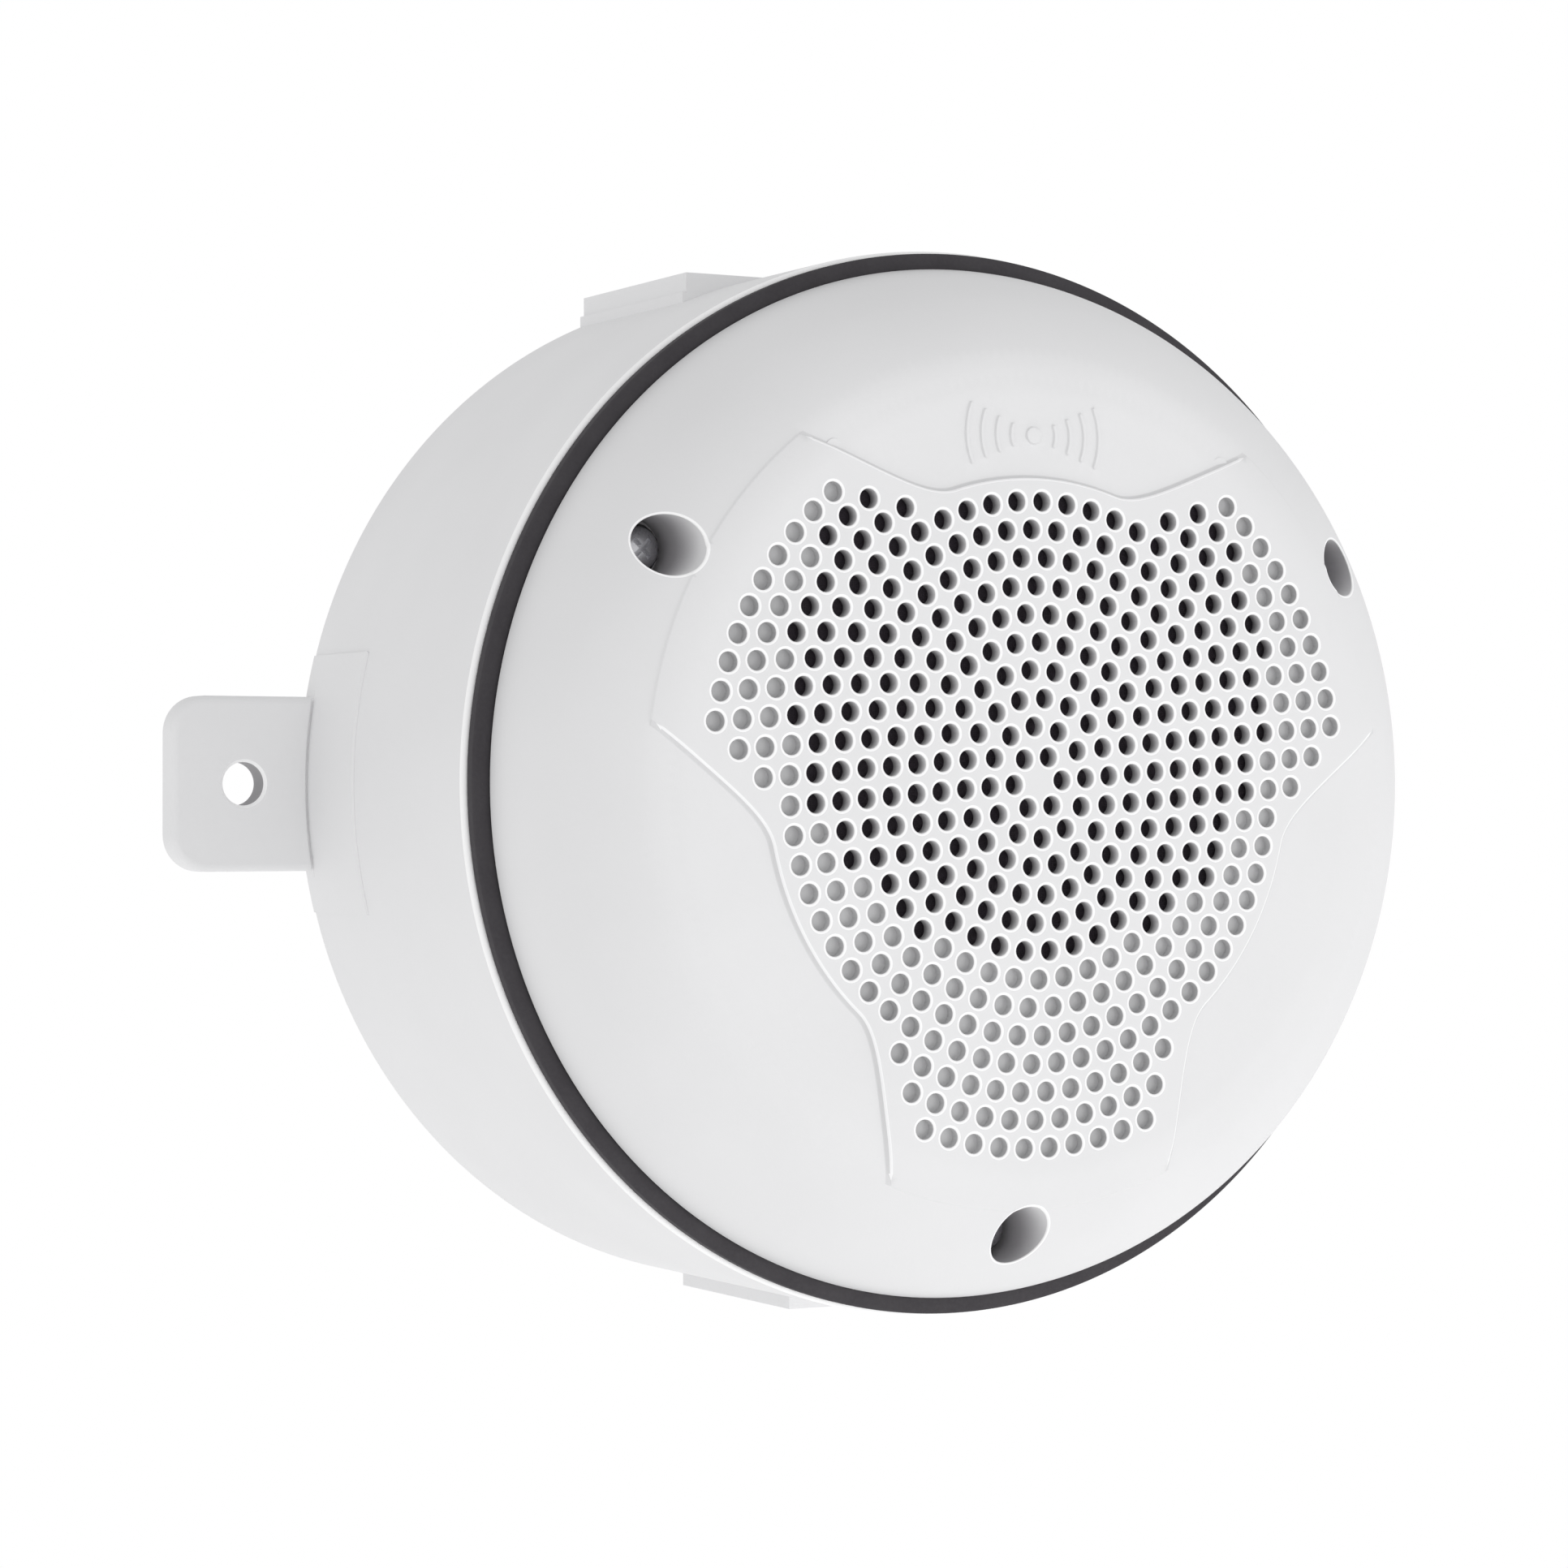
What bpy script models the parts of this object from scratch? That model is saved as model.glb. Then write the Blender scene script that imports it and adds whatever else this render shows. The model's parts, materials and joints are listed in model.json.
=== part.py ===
"""Outdoor alarm siren: a round wall speaker in a weatherproof surface back box.

Frame: origin at the centre of the back face, which lies on the wall plane y = 0. +Z is up, +X is to the
right for someone facing the siren, and the grille faces -Y.
"""

from math import asin, atan, atan2, cos, hypot, pi, radians, sin, sqrt

import bmesh
import bpy
from mathutils import Matrix, Vector

MM = 0.001
GAP = 0.3 * MM                      # clearance between touching pieces
OVERRUN = 2.0 * MM                  # how far a cutter runs past the faces it opens
SHELL_STEPS = 48                    # facets round the big shells
PART_STEPS = 24                     # facets round the speaker's parts
SMALL_STEPS = 8                     # facets round screws and pins

# Overall form
DEPTH = 97.8 * MM                   # wall to the front of the grille
PARTING_Y = -69.5 * MM              # front rim of the back box
BOX_RADIUS = 89.6 * MM
BOX_WALL = 3.0 * MM
LEDGE_RADIUS = 79.0 * MM            # inner edge of the box's front ledge

# Mounting ears
EAR_REACH = 114.5 * MM              # centre line to the ear's outer edge
EAR_HALF_HEIGHT = 15.0 * MM
EAR_THICKNESS = 5.1 * MM
EAR_CORNER = 6.3 * MM
EAR_HOLE_X = 101.6 * MM
EAR_HOLE_RADIUS = 3.7 * MM
EAR_PAD_HALF_HEIGHT = 22.2 * MM     # faint raised panel round the ear's root
EAR_PAD_DEPTH = 25.0 * MM
EAR_PAD_PROUD = 0.4 * MM

# Conduit pads: a wide flat on the crown, and a narrow boss that stands out below
PAD_DEPTH, PAD_REAR_Y = 41.0 * MM, -0.6 * MM
PAD_THICKNESS = 7.3 * MM            # from the pad's inner end to its outer face
CONDUIT_Y = -21.0 * MM
COUNTERBORE_DEPTH = 3.4 * MM
PADS = {                            # side, outer face, half width, entry radius, counterbore radius
    "top": (1, 87.3 * MM, 36.0 * MM, 13.5 * MM, 16.2 * MM),
    "bottom": (-1, 90.7 * MM, 16.0 * MM, 10.5 * MM, 13.0 * MM),
}
PLUG_PLAY = 0.4 * MM
PLUG_SEAL = 1.4 * MM                # from the counterbore's floor to the plug's flange
SOCKET_RADIUS, SOCKET_DEPTH = 5.0 * MM, 5.0 * MM

# Gasket and cover
GASKET_RADIUS = 88.9 * MM
GASKET_INNER = 81.3 * MM
COVER_RADIUS = 86.2 * MM
COVER_BACK_Y = -72.35 * MM
COVER_WALL = 2.5 * MM
FLAT_RADIUS = 62.4 * MM             # the perforated field lies inside this circle
BROW_RADIUS, BROW_DROP = 66.5 * MM, 0.9 * MM
CREASE_RADIUS, CREASE_DROP = 70.0 * MM, 2.7 * MM
SHOULDER_SAGITTA = 3.34 * MM
SHOULDER_STEPS = 4

# Grille holes: rings one pitch apart, and three lobes outside them
PITCH = 4.572 * MM
FULL_RINGS = 10
HOLES_PER_RING = 6                  # ring n has 6 n holes
RING_PHASE = radians(4.75)
LOBE_RINGS = {11: 12, 12: 11, 13: 10}
LOBE_ANGLES = (radians(30), radians(150), radians(270))
HOLE_RADIUS = 1.6 * MM
OPEN_FIELD_RADIUS = 45.9 * MM       # holes go through inside this circle round the speaker's axis

# Cover screws, one in each lobe
SCREW_CIRCLE = 74.0 * MM
WELL_RADIUS = 4.9 * MM
WELL_WALL = 2.0 * MM
WELL_FLOOR_Y = -78.0 * MM
BOSS_RADIUS = 6.5 * MM
BOSS_FRONT_Y = PARTING_Y + 0.2 * MM
BOSS_BACK_Y = -45.0 * MM            # ahead of the conduit entries
RIB_HALF_WIDTH = 2.0 * MM
COVER_SCREW_RADIUS = 2.0 * MM
COVER_SCREW_LENGTH = 24.0 * MM

# Baffle and speaker
SPEAKER_Z = 16.0 * MM
OPENING_RADIUS = 47.4 * MM
BAFFLE_FRONT_Y, BAFFLE_BACK_Y = -93.2 * MM, -90.7 * MM
BAFFLE_RADIUS = 67.0 * MM
SCREEN_RADIUS = 49.2 * MM
FLANGE_BACK_Y = -87.6 * MM
SPEAKER_SCREW_CIRCLE = 52.2 * MM
SMALL_SCREW_RADIUS = 1.25 * MM
POST_RADIUS = 2.6 * MM
LOWER_POST_CIRCLE = 58.0 * MM
LOWER_POST_ANGLES = (radians(210), radians(330))
POST_TIP_Y = -95.7 * MM             # where a screw in a cover post ends

# Speaker profiles: (radius, y) in millimetres
BASKET_PROFILE = [
    (55.2, -89.1), (55.2, -87.6), (48.4, -87.6), (28.0, -69.2), (28.0, -66.5), (12.5, -66.5),
    (12.5, -67.7), (26.6, -67.7), (26.6, -69.6), (46.6, -87.9), (46.6, -89.1),
]
FLANGE_SEAL_PROFILE = [(47.6, -90.4), (54.9, -90.4), (54.9, -89.4), (47.6, -89.4)]
CONE_PROFILE = [(10.8, -74.4), (22.0, -80.2), (36.0, -88.3), (36.0, -89.1), (22.0, -81.2), (10.8, -75.4)]
COIL_PROFILE = [(9.5, -75.5), (10.4, -75.5), (10.4, -60.0), (9.5, -60.0)]
TOP_PLATE_PROFILE = [(11.0, -66.2), (27.0, -66.2), (27.0, -62.2), (11.0, -62.2)]
MAGNET_PROFILE = [(14.0, -61.9), (27.4, -61.9), (28.0, -61.3), (28.0, -52.5), (27.4, -51.9), (14.0, -51.9)]
POLE_PROFILE = [(8.9, -66.2), (8.9, -51.6), (26.0, -51.6), (26.0, -48.2), (25.0, -47.6)]
CAP_RADIUS, CAP_HEIGHT, CAP_Y = 11.0, 3.6, -76.0
SURROUND_MIDDLE, SURROUND_FRONT_Y = 41.3, -89.1
ROLL_RISE, ROLL_HALF_WIDTH, ROLL_THICKNESS = 4.0, 4.2, 0.6
SPIDER_INNER, SPIDER_WIDTH, SPIDER_Y = 11.0, 15.8, -71.8
SPIDER_WAVE, SPIDER_WAVES, SPIDER_THICKNESS = 0.7, 5, 0.5

# Cutters that open a plate run from the first distance to the second
BAFFLE_CUT = (-96.0 * MM, -88.0 * MM)
FLANGE_CUT = (-92.0 * MM, -84.0 * MM)
BOARD_CUT = (-85.0 * MM, -79.0 * MM)
BOX_PILOT_CUT = (-72.0 * MM, -50.0 * MM)
WELL_HOLE_CUT = (-80.0 * MM, -68.0 * MM)

# Circuit board behind the lower lobe
BOARD_X, BOARD_LOW_Z, BOARD_HIGH_Z = 46.0 * MM, -63.0 * MM, -41.0 * MM
BOARD_FRONT_Y, BOARD_BACK_Y = -82.5 * MM, -80.9 * MM
BOARD_SCREW_X, BOARD_SCREW_Z = 42.5 * MM, -46.0 * MM
ON_BOARD_Y = BOARD_BACK_Y + GAP
TRANSFORMER_AT = (-24.0 * MM, -52.0 * MM)
TAP_SWITCH_AT = (0.0, -52.0 * MM)
VOLTAGE_SWITCH_AT = (19.0 * MM, -45.5 * MM)
VOLTAGE_TRAVEL = 4.0 * MM
TAP_BODY_HALF, TAP_BODY_DEPTH = 7.5 * MM, 8.0 * MM
TAP_BORE_RADIUS, TAP_BORE_DEPTH = 2.4 * MM, 5.0 * MM
TAP_STEM_RADIUS, TAP_KNOB_RADIUS, TAP_KNOB_HEIGHT = 2.0 * MM, 5.0 * MM, 2.6 * MM
VOLTAGE_BODY_HALF_X, VOLTAGE_BODY_HALF_Z, VOLTAGE_BODY_DEPTH = 8.5 * MM, 3.8 * MM, 6.0 * MM
SLIDER_HALF_X, SLIDER_HALF_Z = 2.2 * MM, 1.5 * MM
TERMINAL_BODY_HALF_X, TERMINAL_BODY_HALF_Z, TERMINAL_BODY_DEPTH = 13.6 * MM, 5.0 * MM, 11.0 * MM
CAPACITOR_RADIUS, CAPACITOR_HEIGHT = 4.0 * MM, 12.0 * MM
CORE_HALF_X, CORE_HALF_Z, CORE_DEPTH = 14.0 * MM, 6.0 * MM, 22.0 * MM
WINDING_HALF_X, WINDING_HALF_Y, WINDING_HALF_Z = 9.4 * MM, 6.7 * MM, 10.5 * MM
TERMINALS_AT = (24.0 * MM, -57.0 * MM)
TERMINAL_PITCH = 6.6 * MM
CAPACITOR_AT = (34.0 * MM, -46.0 * MM)
LEAD_X = 4.0 * MM
LEAD_RADIUS = 0.8 * MM


def clear_scene():
    for obj in list(bpy.data.objects):
        bpy.data.objects.remove(obj, do_unlink=True)


def make_material(name, colour, roughness, metallic=0.0):
    material = bpy.data.materials.new(name)
    material.use_nodes = True
    shader = material.node_tree.nodes["Principled BSDF"]
    shader.inputs["Base Color"].default_value = (*colour, 1.0)
    shader.inputs["Roughness"].default_value = roughness
    shader.inputs["Metallic"].default_value = metallic
    return material


def make_materials():
    return {
        "white": make_material("white_plastic", (0.82, 0.82, 0.83), 0.45),
        "rubber": make_material("black_rubber", (0.05, 0.05, 0.055), 0.7),
        "mesh": make_material("dark_screen", (0.03, 0.03, 0.035), 0.85),
        "steel": make_material("steel", (0.62, 0.63, 0.65), 0.35, 1.0),
        "basket": make_material("zinc_steel", (0.5, 0.51, 0.52), 0.4, 1.0),
        "paper": make_material("treated_cone", (0.06, 0.06, 0.065), 0.75),
        "ferrite": make_material("ferrite", (0.09, 0.09, 0.1), 0.6),
        "cloth": make_material("spider_cloth", (0.55, 0.42, 0.2), 0.9),
        "copper": make_material("copper", (0.75, 0.4, 0.22), 0.35, 1.0),
        "board": make_material("board_green", (0.05, 0.22, 0.1), 0.45),
        "dark": make_material("dark_plastic", (0.05, 0.05, 0.06), 0.5),
        "core": make_material("laminations", (0.3, 0.31, 0.33), 0.5, 1.0),
        "tape": make_material("winding_tape", (0.72, 0.58, 0.2), 0.5),
        "blue": make_material("terminal_blue", (0.1, 0.25, 0.5), 0.5),
        "red": make_material("red_sleeve", (0.55, 0.05, 0.05), 0.5),
    }


# Basic solids. Each returns an object whose mesh is one closed body.

def finish_object(name, bm, material, location=(0, 0, 0)):
    bmesh.ops.recalc_face_normals(bm, faces=bm.faces)
    mesh = bpy.data.meshes.new(name)
    bm.to_mesh(mesh)
    bm.free()
    mesh.shade_smooth()
    mesh.set_sharp_from_angle(angle=radians(35))
    if material:
        mesh.materials.append(material)
    obj = bpy.data.objects.new(name, mesh)
    obj.location = location
    bpy.context.scene.collection.objects.link(obj)
    return obj


def around(axis, radius, along, angle):
    """Point at this radius, angle and distance along the X, Y or Z axis."""
    u, v = radius * cos(angle), radius * sin(angle)
    return {"X": (along, u, v), "Y": (u, along, v), "Z": (u, v, along)}[axis]


def turned(name, outline, material=None, at=(0, 0), axis="Y", steps=PART_STEPS, ring=False):
    """Solid of revolution. outline lists (radius, distance along the axis).

    A ring's outline closes on itself. Otherwise a flat disc closes each end of it.
    """
    bm = bmesh.new()
    circles = [
        [bm.verts.new(around(axis, radius, along, 2 * pi * k / steps)) for k in range(steps)]
        for radius, along in outline
    ]
    for near, far in zip(circles, circles[1:] + circles[:1] if ring else circles[1:]):
        for k in range(steps):
            m = (k + 1) % steps
            bm.faces.new((near[k], near[m], far[m], far[k]))
    if not ring:
        bm.faces.new(circles[0])
        bm.faces.new(circles[-1])
    location = {"X": (0, at[0], at[1]), "Y": (at[0], 0, at[1]), "Z": (at[0], at[1], 0)}[axis]
    return finish_object(name, bm, material, location)


def cylinder(name, radius, low, high, material=None, at=(0, 0), axis="Y", steps=SMALL_STEPS):
    return turned(name, [(radius, low), (radius, high)], material, at, axis, steps)


def block(name, low, high, material=None, centre=(0, 0, 0)):
    """Box between two corners, which are measured from its centre."""
    bm = bmesh.new()
    bmesh.ops.create_cube(bm, size=1)
    size = Vector(high) - Vector(low)
    middle = (Vector(high) + Vector(low)) / 2
    bmesh.ops.transform(bm, matrix=Matrix.Translation(middle) @ Matrix.Diagonal((*size, 1)), verts=bm.verts)
    return finish_object(name, bm, material, centre)


def extruded(name, outline, low, high, material=None, axis="Y"):
    """Prism of a closed outline: (x, z) points along Y, or (x, y) points along Z."""
    bm = bmesh.new()
    ends = [
        [bm.verts.new((u, end, v) if axis == "Y" else (u, v, end)) for u, v in outline]
        for end in (low, high)
    ]
    for end in ends:
        bm.faces.new(end)
    for k in range(len(outline)):
        m = (k + 1) % len(outline)
        bm.faces.new((ends[0][k], ends[0][m], ends[1][m], ends[1][k]))
    return finish_object(name, bm, material)


def combine(obj, tool, operation):
    """Leaves a Boolean on obj. The tool is kept as a hidden helper."""
    modifier = obj.modifiers.new(tool.name, "BOOLEAN")
    modifier.operation = operation
    modifier.object = tool
    tool.hide_render = True
    tool.display_type = "WIRE"


def arc(start, end, sagitta, steps):
    """Points after start up to end on the arc that bulges by sagitta to the right of the chord."""
    (x0, y0), (x1, y1) = start, end
    chord = hypot(x1 - x0, y1 - y0)
    half = 2 * atan(2 * sagitta / chord)
    radius = chord / 2 / sin(half)
    middle = ((x0 + x1) / 2, (y0 + y1) / 2)
    across = ((y1 - y0) / chord, -(x1 - x0) / chord)
    back = radius - sagitta
    centre = (middle[0] - across[0] * back, middle[1] - across[1] * back)
    first = atan2(y0 - centre[1], x0 - centre[0])
    turns = [first + 2 * half * k / steps for k in range(1, steps + 1)]
    return [(centre[0] + radius * cos(t), centre[1] + radius * sin(t)) for t in turns]


def polar(radius, angle):
    return radius * cos(angle), radius * sin(angle)


def screw_places():
    """(x, z) of the three cover screws."""
    return [polar(SCREW_CIRCLE, angle) for angle in LOBE_ANGLES]


def speaker_screw_places():
    """(x, z) of the speaker's screws, the upper pair first."""
    places = [polar(SPEAKER_SCREW_CIRCLE, radians(45 + 90 * k)) for k in range(4)]
    return [(x, SPEAKER_Z + z) for x, z in places]


def post_places():
    """(x, z) of the cover's posts: behind the speaker's upper screws, and two below."""
    lower = [polar(LOWER_POST_CIRCLE, angle) for angle in LOWER_POST_ANGLES]
    return speaker_screw_places()[:2] + lower


# Back box

def ear_outline(side):
    """Tab with two rounded outer corners, from inside the box wall to its reach."""
    points = [(BOX_RADIUS - BOX_WALL / 2, -EAR_HALF_HEIGHT)]
    for corner_z, first in ((-1, -90), (1, 0)):
        centre = (EAR_REACH - EAR_CORNER, corner_z * (EAR_HALF_HEIGHT - EAR_CORNER))
        for k in range(5):
            angle = radians(first + 22.5 * k)
            points.append((centre[0] + EAR_CORNER * cos(angle), centre[1] + EAR_CORNER * sin(angle)))
    points.append((BOX_RADIUS - BOX_WALL / 2, EAR_HALF_HEIGHT))
    return [(side * x, z) for x, z in points]


def ear_pad_outline(side):
    """Shallow raised panel that follows the box's side."""
    outer, inner = BOX_RADIUS + EAR_PAD_PROUD, BOX_RADIUS - BOX_WALL / 2
    half = asin(EAR_PAD_HALF_HEIGHT / outer)
    sweep = [half * (k / 3 - 1) for k in range(7)]
    points = [polar(outer, angle) for angle in sweep] + [polar(inner, angle) for angle in sweep[::-1]]
    return [(side * x, z) for x, z in points]


def make_back_box(mats):
    outline = [
        (BOX_RADIUS - 1.0 * MM, 0),
        (BOX_RADIUS, -1.0 * MM),
        (BOX_RADIUS, PARTING_Y + 0.8 * MM),
        (BOX_RADIUS - 0.8 * MM, PARTING_Y),
        (LEDGE_RADIUS, PARTING_Y),
        (LEDGE_RADIUS, PARTING_Y + 3.0 * MM),
        (BOX_RADIUS - BOX_WALL, PARTING_Y + 7.0 * MM),
        (BOX_RADIUS - BOX_WALL, -BOX_WALL),
    ]
    box = turned("back_box", outline, mats["white"], steps=SHELL_STEPS)
    for side, label in ((-1, "left"), (1, "right")):
        pad = extruded(f"ear_pad_{label}", ear_pad_outline(side), -EAR_PAD_DEPTH, -1.2 * MM)
        combine(box, pad, "UNION")
        ear = extruded(f"ear_{label}", ear_outline(side), -EAR_THICKNESS, 0)
        combine(box, ear, "UNION")
        hole_at = (side * EAR_HOLE_X, 0)
        hole = cylinder(f"ear_hole_{label}", EAR_HOLE_RADIUS, -9 * MM, 4 * MM, at=hole_at, steps=16)
        combine(box, hole, "DIFFERENCE")
    for label in PADS:
        add_conduit_pad(box, label)
    for n, (place, angle) in enumerate(zip(screw_places(), LOBE_ANGLES), 1):
        boss = cylinder(f"box_boss_{n}", BOSS_RADIUS, BOSS_FRONT_Y, BOSS_BACK_Y, at=place, steps=16)
        combine(box, boss, "UNION")
        rib = block(
            f"boss_rib_{n}",
            (SCREW_CIRCLE, BOSS_FRONT_Y + MM, -RIB_HALF_WIDTH),
            (BOX_RADIUS - BOX_WALL / 2, BOSS_BACK_Y - MM, RIB_HALF_WIDTH),
        )
        rib.rotation_euler = (0, -angle, 0)
        combine(box, rib, "UNION")
        pilot = cylinder(f"box_pilot_{n}", COVER_SCREW_RADIUS + GAP, *BOX_PILOT_CUT, at=place)
        combine(box, pilot, "DIFFERENCE")


def add_conduit_pad(box, label):
    """Flat pad across the box, with a counterbored conduit entry through it."""
    side, face, half_width, entry_radius, counterbore = PADS[label]
    inner, floor = side * (face - PAD_THICKNESS), side * (face - COUNTERBORE_DEPTH)
    low, high = sorted((inner, side * face))
    pad = block(f"conduit_pad_{label}", (-half_width, -PAD_DEPTH, low), (half_width, PAD_REAR_Y, high))
    combine(box, pad, "UNION")
    if face < BOX_RADIUS:
        low, high = sorted((side * face, side * (BOX_RADIUS + OVERRUN)))
        crown = block(
            f"crown_cut_{label}",
            (-half_width - OVERRUN, -PAD_DEPTH, low),
            (half_width + OVERRUN, OVERRUN, high),
        )
        combine(box, crown, "DIFFERENCE")
    entry = turned(
        f"conduit_entry_{label}",
        [(entry_radius, inner - side * OVERRUN), (entry_radius, floor),
         (counterbore, floor), (counterbore, side * (face + OVERRUN))],
        at=(0, CONDUIT_Y), axis="Z",
    )
    combine(box, entry, "DIFFERENCE")


def make_conduit_plugs(mats):
    """Threaded closing plugs with a hexagon socket, each over a flat seal."""
    for label, (side, face, _, entry_radius, counterbore) in PADS.items():
        body, flange = entry_radius - PLUG_PLAY, counterbore - GAP
        floor = face - COUNTERBORE_DEPTH
        seat = floor + PLUG_SEAL
        levels = [(body, face - PAD_THICKNESS - OVERRUN), (body, seat), (flange, seat), (flange, face - GAP)]
        plug = turned(
            f"conduit_plug_{label}", [(r, side * z) for r, z in levels], mats["white"],
            at=(0, CONDUIT_Y), axis="Z",
        )
        low, high = sorted((side * (face - SOCKET_DEPTH), side * (face + OVERRUN)))
        socket = cylinder(f"plug_socket_{label}", SOCKET_RADIUS, low, high, at=(0, CONDUIT_Y), axis="Z",
                          steps=6)
        combine(plug, socket, "DIFFERENCE")
        low, high = side * (floor + GAP), side * (seat - GAP)
        outer = counterbore - PLUG_PLAY
        turned(
            f"plug_seal_{label}", [(entry_radius, low), (outer, low), (outer, high), (entry_radius, high)],
            mats["rubber"], at=(0, CONDUIT_Y), axis="Z", ring=True,
        )


def make_rim_gasket(mats):
    front, back = COVER_BACK_Y + GAP, PARTING_Y - GAP
    outline = [
        (GASKET_INNER, front), (GASKET_RADIUS - 0.4 * MM, front), (GASKET_RADIUS, front + 0.5 * MM),
        (GASKET_RADIUS, back), (GASKET_INNER, back),
    ]
    turned("rim_gasket", outline, mats["rubber"], steps=SHELL_STEPS, ring=True)


# Front cover

def cover_outline(inset):
    """(radius, y) points of the cover's surface, inset into the wall by this much, front to back."""
    flat = (FLAT_RADIUS - inset * 0.2, -DEPTH + inset)
    brow = (BROW_RADIUS - inset * 0.3, -DEPTH + BROW_DROP + inset * 0.95)
    crease = (CREASE_RADIUS - inset * 0.45, -DEPTH + CREASE_DROP + inset * 0.9)
    rim = (COVER_RADIUS - inset, COVER_BACK_Y)
    return [flat, brow, crease] + arc(crease, rim, SHOULDER_SAGITTA, SHOULDER_STEPS)


def grille_hole_places():
    """(radius, angle) of each hole: full rings, then the part rings of the three lobes."""
    places = []
    for ring in range(1, FULL_RINGS + 1):
        count = HOLES_PER_RING * ring
        places += [(ring * PITCH, RING_PHASE + 2 * pi * k / count) for k in range(count)]
    for ring, count in LOBE_RINGS.items():
        step = 2 * pi / (HOLES_PER_RING * ring)
        for lobe in LOBE_ANGLES:
            first = RING_PHASE + step * round((lobe - step * (count - 1) / 2 - RING_PHASE) / step)
            places += [(ring * PITCH, first + step * k) for k in range(count)]
    return places


def make_grille_cutter():
    """The open holes as one helper: square prisms with the area of the round holes.

    The holes outside the speaker's opening are blind dimples, which are left to the fine surface.
    """
    bm = bmesh.new()
    corner = HOLE_RADIUS * sqrt(pi / 2)
    for radius, angle in grille_hole_places():
        x, z = polar(radius, angle)
        if hypot(x, z - SPEAKER_Z) > OPEN_FIELD_RADIUS:
            continue
        ends = []
        for y in (-DEPTH - MM, -DEPTH + COVER_WALL + MM):
            turns = [angle + pi / 4 + pi / 2 * k for k in range(4)]
            ends.append([bm.verts.new((x + corner * cos(t), y, z + corner * sin(t))) for t in turns])
        bm.faces.new(ends[0])
        bm.faces.new(ends[1])
        for k in range(4):
            m = (k + 1) % 4
            bm.faces.new((ends[0][k], ends[0][m], ends[1][m], ends[1][k]))
    return finish_object("grille_holes", bm, None)


def make_front_cover(mats):
    outline = cover_outline(0) + cover_outline(COVER_WALL)[::-1]
    cover = turned("front_cover", outline, mats["white"], steps=SHELL_STEPS)
    form = turned("cover_form", cover_outline(COVER_WALL / 2) + [(10 * MM, COVER_BACK_Y + 4 * MM)],
                  steps=SHELL_STEPS)
    for n, place in enumerate(screw_places(), 1):
        tube = cylinder(f"well_tube_{n}", WELL_RADIUS + WELL_WALL, -DEPTH, PARTING_Y - 0.4 * MM,
                        at=place, steps=16)
        combine(tube, form, "INTERSECT")
        combine(cover, tube, "UNION")
        well = cylinder(f"well_{n}", WELL_RADIUS, -DEPTH - MM, WELL_FLOOR_Y, at=place, steps=16)
        combine(cover, well, "DIFFERENCE")
        hole = cylinder(f"well_hole_{n}", COVER_SCREW_RADIUS + GAP, *WELL_HOLE_CUT, at=place)
        combine(cover, hole, "DIFFERENCE")
    for n, place in enumerate(post_places(), 1):
        post = cylinder(f"cover_post_{n}", POST_RADIUS, POST_TIP_Y - 0.2 * MM, BAFFLE_FRONT_Y - GAP, at=place)
        combine(cover, post, "UNION")
        pilot = cylinder(f"post_pilot_{n}", SMALL_SCREW_RADIUS + GAP, POST_TIP_Y - GAP, -90 * MM, at=place)
        combine(cover, pilot, "DIFFERENCE")
    combine(cover, make_grille_cutter(), "DIFFERENCE")


def pan_screw(name, head_radius, head, radius, tip, seat, material, at, steps=SMALL_STEPS):
    """Pan-head screw along Y. Its head stands head deep behind the seat, or in front when head < 0."""
    crown = head_radius * 0.75
    outline = [
        (radius * 0.5, tip), (radius, tip + (seat - tip) * 0.12), (radius, seat),
        (head_radius, seat), (head_radius, seat + head * 0.6), (crown, seat + head),
    ]
    screw = turned(name, outline, material, at=at, steps=steps)
    width, depth = head_radius * 0.22, head * 0.45
    low, high = sorted((seat + head - depth, seat + head + depth))
    slot = block(f"{name}_slot", (-head_radius * 0.6, low, -width), (head_radius * 0.6, high, width),
                 centre=(at[0], 0, at[1]))
    combine(screw, slot, "DIFFERENCE")
    return screw


def make_cover_screws(mats):
    """Three long screws from the front, each sealed by a washer at the bottom of its well."""
    washer_front, washer_back = WELL_FLOOR_Y - 1.5 * MM, WELL_FLOOR_Y - GAP
    seat = washer_front - GAP
    for n, place in enumerate(screw_places(), 1):
        pan_screw(f"cover_screw_{n}", 3.6 * MM, -2.4 * MM, COVER_SCREW_RADIUS, seat + COVER_SCREW_LENGTH,
                  seat, mats["steel"], place, steps=16)
        inner, outer = COVER_SCREW_RADIUS + GAP, WELL_RADIUS - 0.7 * MM
        turned(
            f"screw_seal_{n}",
            [(inner, washer_front), (outer, washer_front), (outer, washer_back), (inner, washer_back)],
            mats["rubber"], at=place, steps=16, ring=True,
        )


# Baffle

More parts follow.
